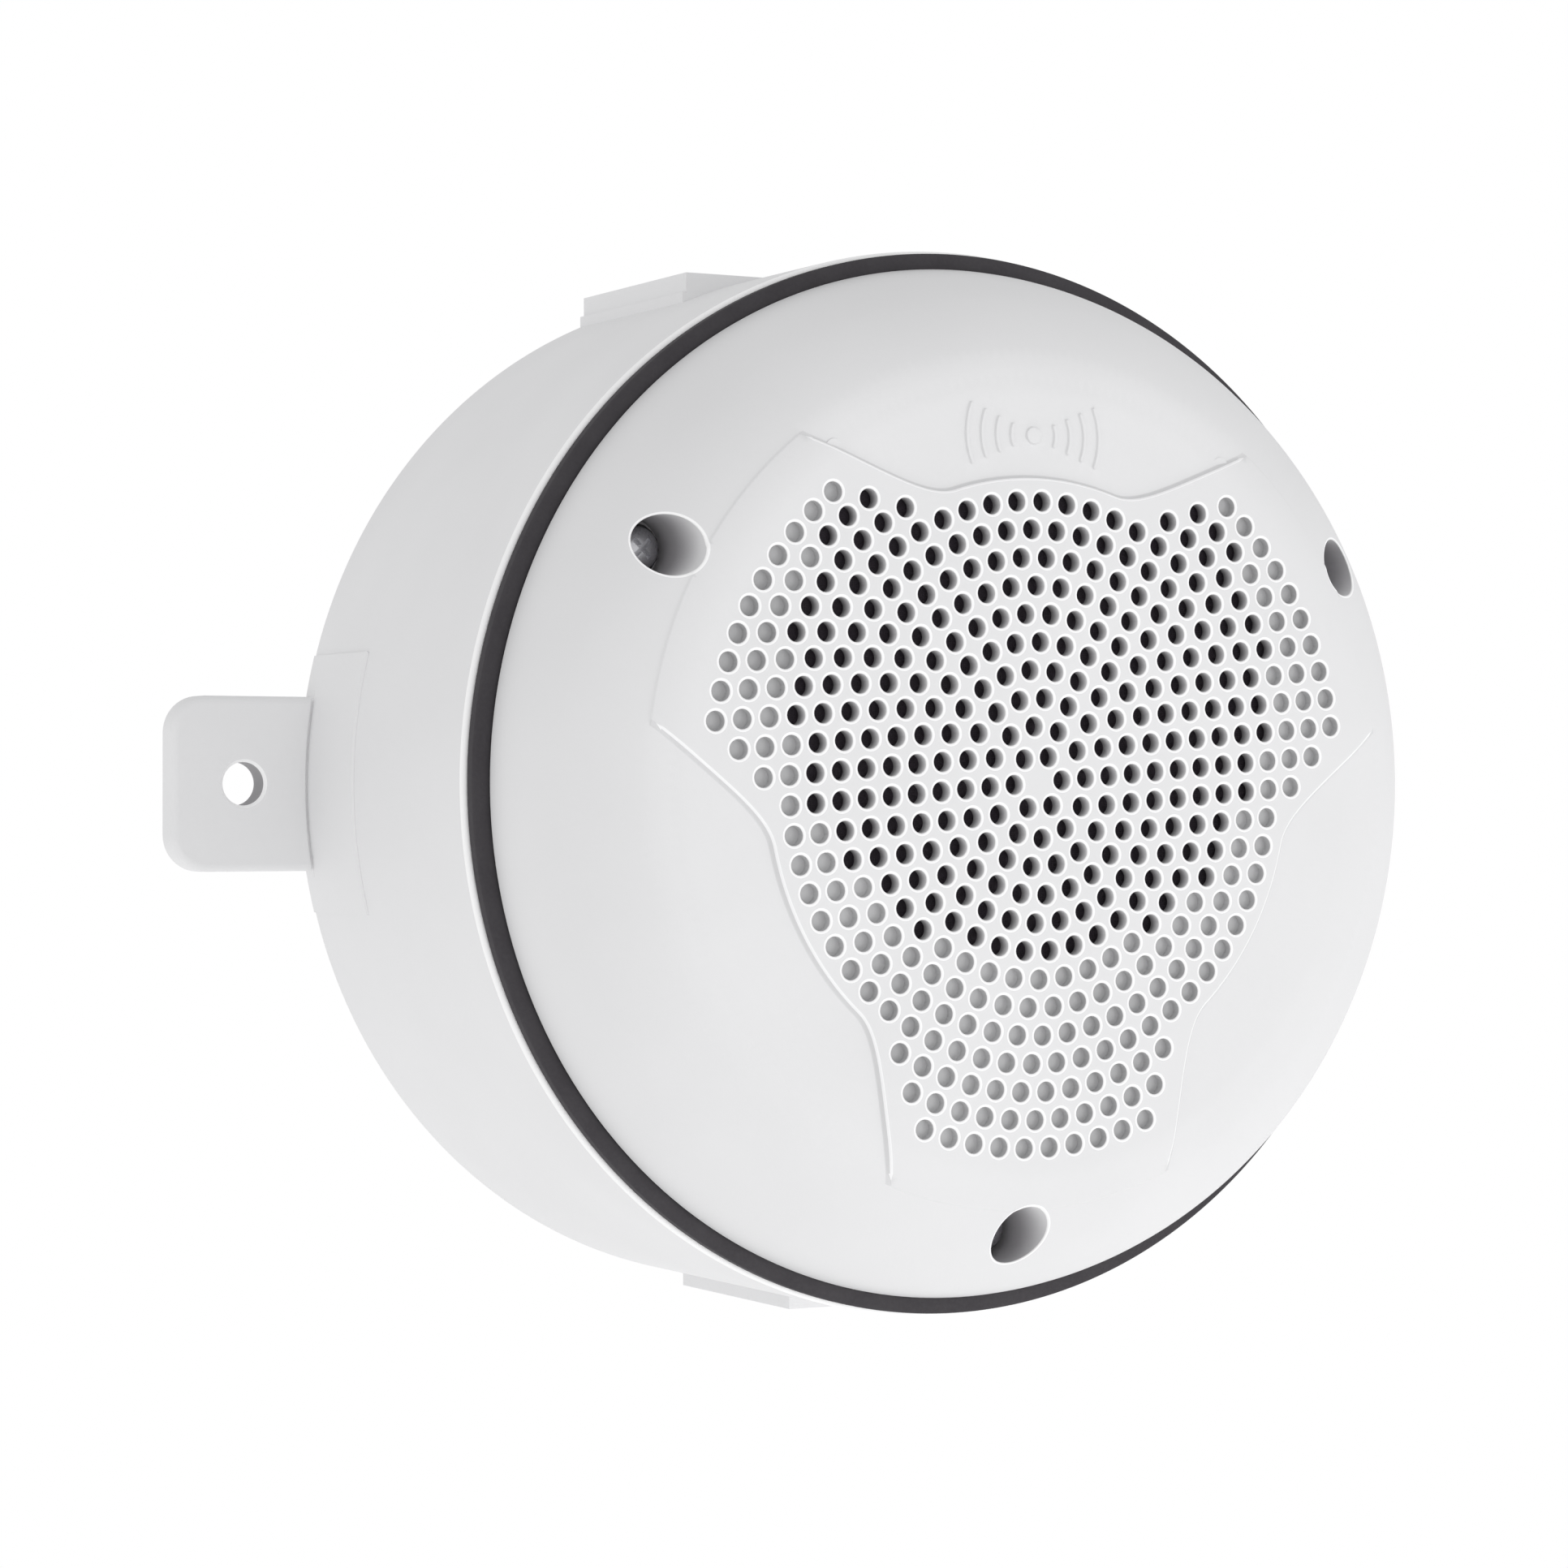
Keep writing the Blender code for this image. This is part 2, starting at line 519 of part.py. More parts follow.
def make_baffle(mats):
    """White plate close behind the grille, which carries the speaker and the circuit board."""
    baffle = cylinder("baffle_plate", BAFFLE_RADIUS, BAFFLE_FRONT_Y, BAFFLE_BACK_Y, mats["white"],
                      steps=SHELL_STEPS)
    opening = cylinder("baffle_opening", OPENING_RADIUS, *BAFFLE_CUT, at=(0, SPEAKER_Z),
                       steps=PART_STEPS)
    combine(baffle, opening, "DIFFERENCE")
    for n, place in enumerate(screw_places(), 1):
        notch = cylinder(f"baffle_notch_{n}", WELL_RADIUS + WELL_WALL + 2 * GAP, *BAFFLE_CUT,
                         at=place, steps=16)
        combine(baffle, notch, "DIFFERENCE")
    for n, place in enumerate(post_places(), 1):
        hole = cylinder(f"baffle_hole_{n}", SMALL_SCREW_RADIUS + GAP, *BAFFLE_CUT, at=place)
        combine(baffle, hole, "DIFFERENCE")
    for n, place in enumerate(speaker_screw_places()[2:], 1):
        blind = cylinder(f"baffle_blind_{n}", SMALL_SCREW_RADIUS + GAP, BAFFLE_FRONT_Y + 0.4 * MM, -88 * MM,
                         at=place)
        combine(baffle, blind, "DIFFERENCE")
    for side, label in ((-1, "left"), (1, "right")):
        place = (side * BOARD_SCREW_X, BOARD_SCREW_Z)
        post = cylinder(f"board_post_{label}", 3.0 * MM, BAFFLE_BACK_Y - MM, BOARD_FRONT_Y - GAP, at=place)
        combine(baffle, post, "UNION")
        pilot = cylinder(f"board_pilot_{label}", SMALL_SCREW_RADIUS + GAP, -88.2 * MM, -80 * MM, at=place)
        combine(baffle, pilot, "DIFFERENCE")


def make_small_screws(mats):
    """Speaker screws, the two lower baffle screws and the two board screws."""
    head, height = 2.6 * MM, 1.8 * MM
    tips = [POST_TIP_Y] * 2 + [BAFFLE_FRONT_Y + 0.7 * MM] * 2
    for n, (place, tip) in enumerate(zip(speaker_screw_places(), tips), 1):
        pan_screw(f"speaker_screw_{n}", head, height, SMALL_SCREW_RADIUS, tip, FLANGE_BACK_Y + GAP,
                  mats["steel"], place)
    for n, place in enumerate(post_places()[2:], 1):
        pan_screw(f"baffle_screw_{n}", head, height, SMALL_SCREW_RADIUS, POST_TIP_Y, BAFFLE_BACK_Y + GAP,
                  mats["steel"], place)
    for n, side in enumerate((-1, 1), 1):
        pan_screw(f"board_screw_{n}", head, height, SMALL_SCREW_RADIUS, -87.8 * MM, ON_BOARD_Y,
                  mats["steel"], (side * BOARD_SCREW_X, BOARD_SCREW_Z))


def make_weather_screen(mats):
    """Thin dark weather screen between the grille and the speaker."""
    back = BAFFLE_FRONT_Y - GAP
    cylinder("weather_screen", SCREEN_RADIUS, back - 0.25 * MM, back, mats["mesh"], at=(0, SPEAKER_Z),
             steps=PART_STEPS)


# Speaker, turned about its own axis at the height SPEAKER_Z

def speaker_part(name, profile, material, ring=True):
    """Solid of revolution about the speaker's axis, from a profile in millimetres."""
    points = [(radius * MM, y * MM) for radius, y in profile]
    return turned(name, points, material, at=(0, SPEAKER_Z), ring=ring)


def make_basket(mats):
    basket = speaker_part("speaker_basket", BASKET_PROFILE, mats["basket"])
    for n in range(4):
        window = block(f"basket_window_{n + 1}", (30 * MM, -84.5 * MM, -13 * MM),
                       (60 * MM, -72 * MM, 13 * MM), centre=(0, 0, SPEAKER_Z))
        window.rotation_euler = (0, n * pi / 2, 0)
        combine(basket, window, "DIFFERENCE")
    seal = speaker_part("speaker_seal", FLANGE_SEAL_PROFILE, mats["rubber"])
    for n, place in enumerate(speaker_screw_places(), 1):
        for obj, label in ((basket, "flange"), (seal, "seal")):
            hole = cylinder(f"{label}_hole_{n}", SMALL_SCREW_RADIUS + GAP, *FLANGE_CUT, at=place)
            combine(obj, hole, "DIFFERENCE")


def make_cone_parts(mats):
    """The moving parts, and the surround and spider that carry them."""
    speaker_part("speaker_cone", CONE_PROFILE, mats["paper"])
    turns = [pi * k / 8 for k in range(4)]
    cap = [(CAP_RADIUS * cos(t), CAP_Y - CAP_HEIGHT * sin(t)) for t in turns]
    cap.append((CAP_RADIUS * 0.14, CAP_Y - CAP_HEIGHT))
    speaker_part("dust_cap", cap, mats["paper"], ring=False)
    speaker_part("voice_coil", COIL_PROFILE, mats["copper"])
    front, back = SURROUND_FRONT_Y, SURROUND_FRONT_Y + ROLL_THICKNESS
    inner_half, inner_rise = ROLL_HALF_WIDTH - ROLL_THICKNESS, ROLL_RISE - ROLL_THICKNESS
    turns = [pi * k / 4 for k in range(5)]
    outside = [(SURROUND_MIDDLE - ROLL_HALF_WIDTH * cos(t), front - ROLL_RISE * sin(t)) for t in turns]
    inside = [(SURROUND_MIDDLE - inner_half * cos(t), back - inner_rise * sin(t)) for t in turns[::-1]]
    near_lip, far_lip = SURROUND_MIDDLE - 4.9, SURROUND_MIDDLE + 4.9
    profile = [(near_lip, back), (near_lip, front)] + outside + [(far_lip, front), (far_lip, back)] + inside
    speaker_part("cone_surround", profile, mats["rubber"])
    radii = [SPIDER_INNER + SPIDER_WIDTH * k / SPIDER_WAVES for k in range(SPIDER_WAVES + 1)]
    waves = [(r, SPIDER_Y + (SPIDER_WAVE if k % 2 else -SPIDER_WAVE)) for k, r in enumerate(radii)]
    speaker_part("spider", waves + [(r, y + SPIDER_THICKNESS) for r, y in waves[::-1]], mats["cloth"])


def make_motor(mats):
    speaker_part("top_plate", TOP_PLATE_PROFILE, mats["steel"])
    speaker_part("magnet_ring", MAGNET_PROFILE, mats["ferrite"])
    speaker_part("pole_yoke", POLE_PROFILE, mats["steel"], ring=False)


# Electronics on the board

def box_on_board(name, place, half_width, half_height, back, material, front=ON_BOARD_Y):
    """Block that stands on the board's back, between two distances from the wall."""
    x, z = place
    return block(name, (-half_width, front, -half_height), (half_width, back, half_height), material,
                 centre=(x, 0, z))


def make_board(mats):
    board = block("circuit_board", (-BOARD_X, BOARD_FRONT_Y, BOARD_LOW_Z),
                  (BOARD_X, BOARD_BACK_Y, BOARD_HIGH_Z), mats["board"])
    for side, label in ((-1, "left"), (1, "right")):
        hole = cylinder(f"board_hole_{label}", SMALL_SCREW_RADIUS + GAP, *BOARD_CUT,
                        at=(side * BOARD_SCREW_X, BOARD_SCREW_Z))
        combine(board, hole, "DIFFERENCE")


def make_transformer(mats):
    """E-I core with the winding round its middle leg, under a steel strap."""
    x, z = TRANSFORMER_AT
    low_y = ON_BOARD_Y + 0.4 * MM
    high_y = low_y + CORE_DEPTH
    middle_y = (low_y + high_y) / 2
    core = block("transformer_core", (-CORE_HALF_X, low_y, -CORE_HALF_Z), (CORE_HALF_X, high_y, CORE_HALF_Z),
                 mats["core"], centre=(x, 0, z))
    for side, label in ((-1, "left"), (1, "right")):
        near, far = sorted((side * 4.0 * MM, side * (WINDING_HALF_X + GAP)))
        half_y, half_z = WINDING_HALF_Y + GAP, CORE_HALF_Z + OVERRUN
        window = block(f"core_window_{label}", (near, middle_y - half_y, -half_z),
                       (far, middle_y + half_y, half_z), centre=(x, 0, z))
        combine(core, window, "DIFFERENCE")
    winding = block("transformer_winding", (-WINDING_HALF_X, middle_y - WINDING_HALF_Y, -WINDING_HALF_Z),
                    (WINDING_HALF_X, middle_y + WINDING_HALF_Y, WINDING_HALF_Z), mats["tape"],
                    centre=(x, 0, z))
    leg = block("winding_hole", (-4.3 * MM, middle_y - 8 * MM, -CORE_HALF_Z - GAP),
                (4.3 * MM, middle_y + 8 * MM, CORE_HALF_Z + GAP), centre=(x, 0, z))
    combine(winding, leg, "DIFFERENCE")
    inner, outer, back = CORE_HALF_X + GAP, CORE_HALF_X + GAP + 0.8 * MM, high_y + GAP
    strap = [(-outer, ON_BOARD_Y), (-inner, ON_BOARD_Y), (-inner, back), (inner, back),
             (inner, ON_BOARD_Y), (outer, ON_BOARD_Y), (outer, back + 0.8 * MM), (-outer, back + 0.8 * MM)]
    extruded("transformer_strap", [(x + u, y) for u, y in strap], z - 5 * MM, z + 5 * MM,
             mats["basket"], axis="Z")


def make_tap_switch(mats):
    """Rotary power-tap selector: a slotted knob on a stem, in a square body."""
    body_back = ON_BOARD_Y + TAP_BODY_DEPTH
    body = box_on_board("tap_switch_body", TAP_SWITCH_AT, TAP_BODY_HALF, TAP_BODY_HALF, body_back,
                        mats["dark"])
    bore = cylinder("tap_bore", TAP_BORE_RADIUS, body_back - TAP_BORE_DEPTH, body_back + MM, at=TAP_SWITCH_AT)
    combine(body, bore, "DIFFERENCE")
    front = body_back + GAP
    back = front + TAP_KNOB_HEIGHT
    outline = [
        (TAP_STEM_RADIUS, body_back - TAP_BORE_DEPTH + 0.5 * MM), (TAP_STEM_RADIUS, front),
        (TAP_KNOB_RADIUS, front), (TAP_KNOB_RADIUS, back - 0.6 * MM), (TAP_KNOB_RADIUS - 0.6 * MM, back),
    ]
    knob = turned("tap_selector", outline, mats["white"], at=TAP_SWITCH_AT, steps=16)
    x, z = TAP_SWITCH_AT
    slot = block("tap_slot", (-0.7 * MM, back - MM, -3.4 * MM), (0.7 * MM, back + MM, TAP_KNOB_RADIUS + MM),
                 centre=(x, 0, z))
    combine(knob, slot, "DIFFERENCE")


def make_voltage_switch(mats):
    """Two-position slide switch. The slider rests at its low-voltage end."""
    x, z = VOLTAGE_SWITCH_AT
    body_back = ON_BOARD_Y + VOLTAGE_BODY_DEPTH
    body = box_on_board("voltage_switch_body", VOLTAGE_SWITCH_AT, VOLTAGE_BODY_HALF_X, VOLTAGE_BODY_HALF_Z,
                        body_back, mats["dark"])
    half_slot_x, half_slot_z = SLIDER_HALF_X + VOLTAGE_TRAVEL / 2 + 0.4 * MM, SLIDER_HALF_Z + 0.4 * MM
    slot = block("slider_slot", (-half_slot_x, body_back - 3 * MM, -half_slot_z),
                 (half_slot_x, body_back + MM, half_slot_z), centre=(x, 0, z))
    combine(body, slot, "DIFFERENCE")
    block("voltage_slider", (-SLIDER_HALF_X, body_back - 2.6 * MM, -SLIDER_HALF_Z),
          (SLIDER_HALF_X, body_back + 2 * MM, SLIDER_HALF_Z), mats["red"],
          centre=(x - VOLTAGE_TRAVEL / 2, 0, z))


def make_terminals(mats):
    """Field-wiring block: four screws on its back, four wire entries in its lower side."""
    x, z = TERMINALS_AT
    body_back = ON_BOARD_Y + TERMINAL_BODY_DEPTH
    body = box_on_board("terminal_block", TERMINALS_AT, TERMINAL_BODY_HALF_X, TERMINAL_BODY_HALF_Z, body_back,
                        mats["blue"])
    for n in range(4):
        place = (x + TERMINAL_PITCH * (n - 1.5), z)
        well = cylinder(f"terminal_well_{n + 1}", 2.5 * MM, body_back - 3 * MM, body_back + MM, at=place)
        combine(body, well, "DIFFERENCE")
        entry = block(f"wire_entry_{n + 1}", (-1.9 * MM, ON_BOARD_Y + 2 * MM, -6 * MM),
                      (1.9 * MM, ON_BOARD_Y + 6 * MM, 1 * MM), centre=(place[0], 0, z))
        combine(body, entry, "DIFFERENCE")
        screw = cylinder(f"terminal_screw_{n + 1}", 2.1 * MM, body_back - 2.7 * MM, body_back - 0.6 * MM,
                         mats["steel"], at=place)
        slot = block(f"terminal_slot_{n + 1}", (-3 * MM, body_back - 1.4 * MM, -0.35 * MM),
                     (3 * MM, body_back, 0.35 * MM), centre=(place[0], 0, z))
        combine(screw, slot, "DIFFERENCE")


def make_capacitor(mats):
    back, edge = ON_BOARD_Y + CAPACITOR_HEIGHT, 0.6 * MM
    outline = [(CAPACITOR_RADIUS - 0.2 * MM, ON_BOARD_Y), (CAPACITOR_RADIUS, ON_BOARD_Y + edge),
               (CAPACITOR_RADIUS, back - edge), (CAPACITOR_RADIUS - 0.5 * MM, back)]
    turned("blocking_capacitor", outline, mats["dark"], at=CAPACITOR_AT, steps=16)


def make_leads(mats):
    """Terminal strip on the speaker's flange, and two short leads from it to the board."""
    strip_back = FLANGE_BACK_Y + GAP + 1.2 * MM
    strip_z = SPEAKER_Z - SPEAKER_SCREW_CIRCLE
    block("speaker_terminals", (-7 * MM, FLANGE_BACK_Y + GAP, -2.6 * MM), (7 * MM, strip_back, 2.6 * MM),
          mats["tape"], centre=(0, 0, strip_z))
    for side, name, material in ((-1, "lead_positive", "red"), (1, "lead_negative", "dark")):
        start = Vector((side * LEAD_X, strip_back + GAP, strip_z))
        end = Vector((side * LEAD_X, ON_BOARD_Y, BOARD_HIGH_Z - 1.6 * MM))
        reach = Vector((0, 12 * MM, 0))
        curve = bpy.data.curves.new(name, "CURVE")
        curve.dimensions = "3D"
        curve.bevel_depth = LEAD_RADIUS
        curve.bevel_resolution = 1
        curve.use_fill_caps = True
        curve.materials.append(mats[material])
        spline = curve.splines.new("POLY")
        count = 12
        spline.points.add(count - 1)
        for k in range(count):
            t = k / (count - 1)
            point = ((1 - t) ** 3 * start + 3 * t * (1 - t) ** 2 * (start + reach)
                     + 3 * t * t * (1 - t) * (end + reach) + t ** 3 * end)
            spline.points[k].co = (*point, 1)
        obj = bpy.data.objects.new(name, curve)
        bpy.context.scene.collection.objects.link(obj)


def group_parts():
    """Parents the pieces to one empty for each assembly, all at the object's origin."""
    groups = {
        "speaker_unit": ("speaker", "cone", "dust", "voice", "spider", "top_plate", "magnet", "pole", "lead"),
        "board_assembly": ("circuit", "board", "transformer", "tap", "voltage", "terminal", "blocking"),
        "housing": ("",),
    }
    pieces = [obj for obj in bpy.data.objects if not obj.hide_render]
    for name, prefixes in groups.items():
        empty = bpy.data.objects.new(name, None)
        bpy.context.scene.collection.objects.link(empty)
        for obj in pieces:
            if obj.parent is None and obj.name.startswith(prefixes):
                obj.parent = empty


def main():
    clear_scene()
    mats = make_materials()
    make_back_box(mats)
    make_conduit_plugs(mats)
    make_rim_gasket(mats)
    make_front_cover(mats)
    make_cover_screws(mats)
    make_weather_screen(mats)
    make_baffle(mats)
    make_small_screws(mats)
    make_basket(mats)
    make_cone_parts(mats)
    make_motor(mats)
    make_board(mats)
    make_transformer(mats)
    make_tap_switch(mats)
    make_voltage_switch(mats)
    make_terminals(mats)
    make_capacitor(mats)
    make_leads(mats)
    group_parts()


main()
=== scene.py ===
"""Looks of the outdoor alarm siren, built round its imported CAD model.

The fine shells are worked out in millimetres and written to their meshes in metres. +X is to the right for
someone facing the siren, +Z is up, and the grille faces -Y.
"""

import json
from math import asin, atan, cos, hypot, pi, radians, sin, sqrt

import bmesh
import bpy
import numpy as np
from mathutils import Matrix, Vector
from mathutils.geometry import delaunay_2d_cdt
from mathutils.kdtree import KDTree


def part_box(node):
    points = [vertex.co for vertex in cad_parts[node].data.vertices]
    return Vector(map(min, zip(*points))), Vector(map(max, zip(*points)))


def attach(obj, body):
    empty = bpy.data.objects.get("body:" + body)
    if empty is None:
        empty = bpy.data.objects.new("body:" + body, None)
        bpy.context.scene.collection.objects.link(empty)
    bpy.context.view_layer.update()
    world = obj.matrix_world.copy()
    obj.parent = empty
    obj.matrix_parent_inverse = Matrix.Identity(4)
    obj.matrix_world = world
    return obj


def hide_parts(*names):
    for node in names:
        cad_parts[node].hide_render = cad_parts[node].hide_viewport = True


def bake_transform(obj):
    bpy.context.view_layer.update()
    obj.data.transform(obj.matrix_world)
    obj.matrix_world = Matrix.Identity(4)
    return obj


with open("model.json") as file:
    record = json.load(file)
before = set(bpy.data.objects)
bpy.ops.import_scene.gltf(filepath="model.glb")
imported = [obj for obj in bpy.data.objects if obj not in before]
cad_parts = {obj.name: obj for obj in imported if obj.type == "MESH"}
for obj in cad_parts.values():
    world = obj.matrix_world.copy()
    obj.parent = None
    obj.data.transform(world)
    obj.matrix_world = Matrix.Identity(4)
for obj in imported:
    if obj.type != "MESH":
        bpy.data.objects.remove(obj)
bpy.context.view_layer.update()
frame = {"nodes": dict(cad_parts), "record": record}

MM = 0.001


def box_of(node):
    """A node's low and high corner, in millimetres."""
    return [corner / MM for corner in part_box(node)]


def polar(radius, angle):
    return radius * cos(angle), radius * sin(angle)


COVER_LOW, COVER_HIGH = box_of("front_cover")
GASKET_LOW, GASKET_HIGH = box_of("rim_gasket")
BOX_LOW, BOX_HIGH = box_of("back_box")
SCREEN_LOW, SCREEN_HIGH = box_of("weather_screen")
SEAL_BACK_Y = box_of("screw_seal_1")[1].y

# Front cover
FRONT_Y = COVER_LOW.y
COVER_RADIUS = COVER_HIGH.x
COVER_BACK_Y = GASKET_LOW.y - 0.3
COVER_WALL = 2.5
DOME_SAG, DOME_AT = 0.73, 59.4  # drop of the perforated face at this radius
ROLL_RADIUS = 63.0  # where the face starts to roll over into the shoulder
CREASE_RADIUS, CREASE_DROP = 70.0, 2.7
SHOULDER_SAGITTA = 3.34
FIELD_EDGE = 69.7  # outer edge of the raised lobes
LOBE_STEP, LOBE_STEP_HALF = 0.34, 0.17
PETAL_STEP, PETAL_STEP_HALF = 0.95, 0.38
PETAL_INNER, PETAL_RISE = 49.6, 20.1
PETAL_KINK, PETAL_END = radians(18.0), radians(37.7)
PETAL_POWER = 1.9
PETAL_FADE = 4.5  # the petals run out to the lobes' level over this much radius
PETAL_HIGHLIGHT_BAND = (-0.46, -0.07)  # painted highlight line along the field's side of each petal's inner edge
PETAL_SHADE_BAND = (-0.07, 0.46)  # painted shade line at the bottom of that step
PETAL_ANGLES = (radians(90), radians(210), radians(330))
LOBE_ANGLES = (radians(30), radians(150), radians(270))
STEP_FADE = (76.0, 85.0)  # the lobes and petals fade into the shoulder between these radii
MESHED_RADIUS = 80.0  # the skin is triangulated inside this radius and ringed outside it
INNER_MESHED_RADIUS = 82.6
RIM_RINGS, INNER_RIM_RINGS = 10, 4
EVEN_RADIUS = 62.0  # the triangles are smaller outside this
AROUND = 288  # segments round the big shells
QUARTER = (0, pi / 8, pi / 4, 3 * pi / 8, pi / 2)  # turns of a rounded edge's points
SHARP_ANGLE = radians(35)  # edges that bend more than this stay sharp
# lip and brow finishes are painted highlights; bore, dimple, well and foot finishes are painted shade
COVER_FINISHES = ("cover_white", "lip_white", "bore_grey", "dimple_grey", "well_grey", "brow_white",
                  "foot_grey")

# Grille
PITCH = 4.572
FULL_RINGS = 10
RING_PHASE = radians(4.75)
LOBE_RINGS = {11: 12, 12: 11, 13: 10}
HOLE_RADIUS = 1.6
HOLE_LIP = (0.46, 0.22)  # width and depth
LIP_BEND = (0.3, 0.25)  # a lip's middle lies this far out and back, as shares of its width
LIP_LEAN = 0.4  # how far the normals there lean inward
DIMPLE_DEPTH = 1.7
OPEN_RADIUS = 45.9  # holes inside this circle round the speaker's axis go through
SPEAKER_Z = (SCREEN_LOW.z + SCREEN_HIGH.z) / 2
HOLE_STEPS = 24

# Screw wells and posts
SCREW_CIRCLE = 74.0
WELL_RADIUS, WELL_LIP = 4.9, (0.4, 0.4)
WELL_FLOOR_Y = SEAL_BACK_Y + 0.3
WELL_STEPS = 72
TUBE_RADIUS = 6.9
SCREW_HOLE_RADIUS = 2.3
POST_RADIUS, PILOT_RADIUS, PILOT_FLOOR_Y = 2.6, 1.55, -95.9
POST_END_Y = -93.5
FLANGE_CIRCLE, BAFFLE_CIRCLE = 52.2, 58.0
POST_PLACES = [(x, SPEAKER_Z + z) for x, z in (polar(FLANGE_CIRCLE, radians(t)) for t in (45, 135))]
POST_PLACES += [polar(BAFFLE_CIRCLE, radians(t)) for t in (210, 330)]

# Cover screws
HEAD_RADIUS, HEAD_HEIGHT, HEAD_RISE = 3.6, 2.4, 1.9
SHANK_RADIUS, PLAIN_LENGTH = 2.0, 5.0
THREAD_PITCH, THREAD_DEPTH = 0.8, 0.45
RECESS_REACH, RECESS_DEPTH, RECESS_HALF_WIDTH = 2.0, 1.2, 0.4

# Embossed sound-wave sign on the top petal
SIGN_Z, SIGN_RISE, SIGN_EDGE, SIGN_STROKE = 56.5, 0.34, 0.2, 0.42
SIGN_STROKES = [(radius, side) for radius in (4.2, 7.0, 9.8, 12.6) for side in (0.0, pi)]
SIGN_SPREAD, SIGN_DOT = radians(22), 1.5
CAP_STEPS = 6  # segments round the end of a stroke

# Loudspeaker's surround and spider. Each HOLD is the radii at which the housing and the cone hold it
SURROUND_MIDDLE, SURROUND_FRONT_Y, SURROUND_LIP = 41.3, -89.1, 4.9
ROLL_HALF_WIDTH, ROLL_RISE, ROLL_THICKNESS = 4.2, 4.0, 0.6
CONE_LAP_RADIUS, CONE_LAP_REACH, CONE_LAP_THICKNESS = 35.4, 0.6, 0.5
SURROUND_HOLD, SURROUND_SECTORS, SURROUND_RIM = (44.6, 37.1), 16, 0.7
SPIDER_INNER, SPIDER_WIDTH, SPIDER_Y, COIL_LAP_RADIUS = 11.0, 15.8, -71.8, 10.5
SPIDER_WAVE, SPIDER_WAVES, SPIDER_THICKNESS = 0.7, 5, 0.5
SPIDER_HOLD, SPIDER_SECTORS = (24.0, 12.0), 8
ROLL_SAMPLES, WAVE_SAMPLES = 17, 41
FLEXING_STEPS = 96  # segments round the surround and the spider

# Rim gasket
GASKET_INNER, GASKET_ROUND, GASKET_CHAMFER = 81.3, 0.45, 0.2

# Back box
BOX_RADIUS = BOX_HIGH.z
BOX_WALL = 3.0
# the last is the width of the painted highlight along the box's front rim
BOX_BACK_ROUND, BOX_RIM_ROUND, BOX_RIM_HIGHLIGHT = 1.0, 0.9, 1.6
BOX_FINISHES = ("housing_white", "lip_white", "ear_bore_grey")
LEDGE_RADIUS, LEDGE_CHAMFER = 79.0, 0.4
BOSS_RADIUS, BOSS_BACK_Y, RIB_BACK_Y, RIB_HALF_WIDTH = 6.5, -45.0, -46.0, 2.0
PILOT_Y = (-72.0, -50.0)
REAR_GROOVES = ((80.0, 84.0, 0.9), (13.6, 14.6, 0.7))  # inner radius, outer radius, depth
PARTING_Y = BOX_LOW.y
EAR_REACH = BOX_HIGH.x
EAR_HALF_HEIGHT, EAR_THICKNESS, EAR_CORNER, EAR_ROUND, EAR_CHAMFER = 15.0, 5.1, 6.3, 1.3, 0.4
EAR_HOLE_X, EAR_HOLE_RADIUS, EAR_HOLE_FLARE = 101.6, 3.7, 0.9
PANEL_HALF_HEIGHT, PANEL_PROUD, PANEL_ROUND = 22.2, 0.4, 0.3
PANEL_FRONT_Y, PANEL_BACK_Y = -25.0, -1.2
EAR_GROOVE, EAR_GROOVE_SHARE = 0.45, 0.72  # width and depth, and share of the panel's length
PAD_DEPTH, PAD_THICKNESS, PAD_PLATE, PAD_SHOULDER, PAD_BACK_Y = 41.0, 7.3, 3.6, 0.7, -0.6
CONDUIT_Y, COUNTERBORE_DEPTH, ENTRY_CHAMFER, ENTRY_STEPS = -21.0, 3.4, 0.4, 96
PLUG_ROUND, PLUG_GROOVE, PLUG_GROOVE_DEPTH = 0.6, (8.4, 9.0), 0.4
SOCKET_RADIUS, SOCKET_DEPTH, SOCKET_CHAMFER = 5.0, 4.7, 0.5
PADS = {  # side, outer face, half width, entry radius, counterbore radius
    "top": (1, 87.3, 36.0, 13.5, 16.2),
    "bottom": (-1, 90.7, 16.0, 10.5, 13.0),
}

# Camera, in metres
CAMERA_AT = (-0.35082, -0.65971, -0.00419)
CAMERA_FORWARD = (0.47558, 0.87965, 0.00597)
CAMERA_LENS, CAMERA_SENSOR = 93.4743, 36.0

# Studio
FLOOR_RADIUS, FLOOR_Z, FLOOR_GLOW = 1.0, -0.34, 0.35
SOFT_LIGHT = 0.90  # radiance of the surround where the tilt is square to it
SOFT_LIGHT_TILT = (-0.02, -0.02, -0.22)
KEY_PLACE, KEY_SIZE, KEY_POWER = (0.45, -0.75, -0.35), 0.5, 2.4


# Materials

PATTERN_REACH = (0.3, 0.7)  # where most of a noise or wave pattern's values lie
PLASTIC_GRAIN, PLASTIC_RELIEF, BAND_RELIEF = 2500.0, 2e-5, 4e-5


def add_node(tree, kind, inputs):
    """Adds a shader node. Each input is given a value, or a link from another node's output."""
    node = tree.nodes.new(f"ShaderNode{kind}")
    for name, value in inputs.items():
        if isinstance(value, bpy.types.NodeSocket):
            tree.links.new(value, node.inputs[name])
        else:
            node.inputs[name].default_value = value
    return node


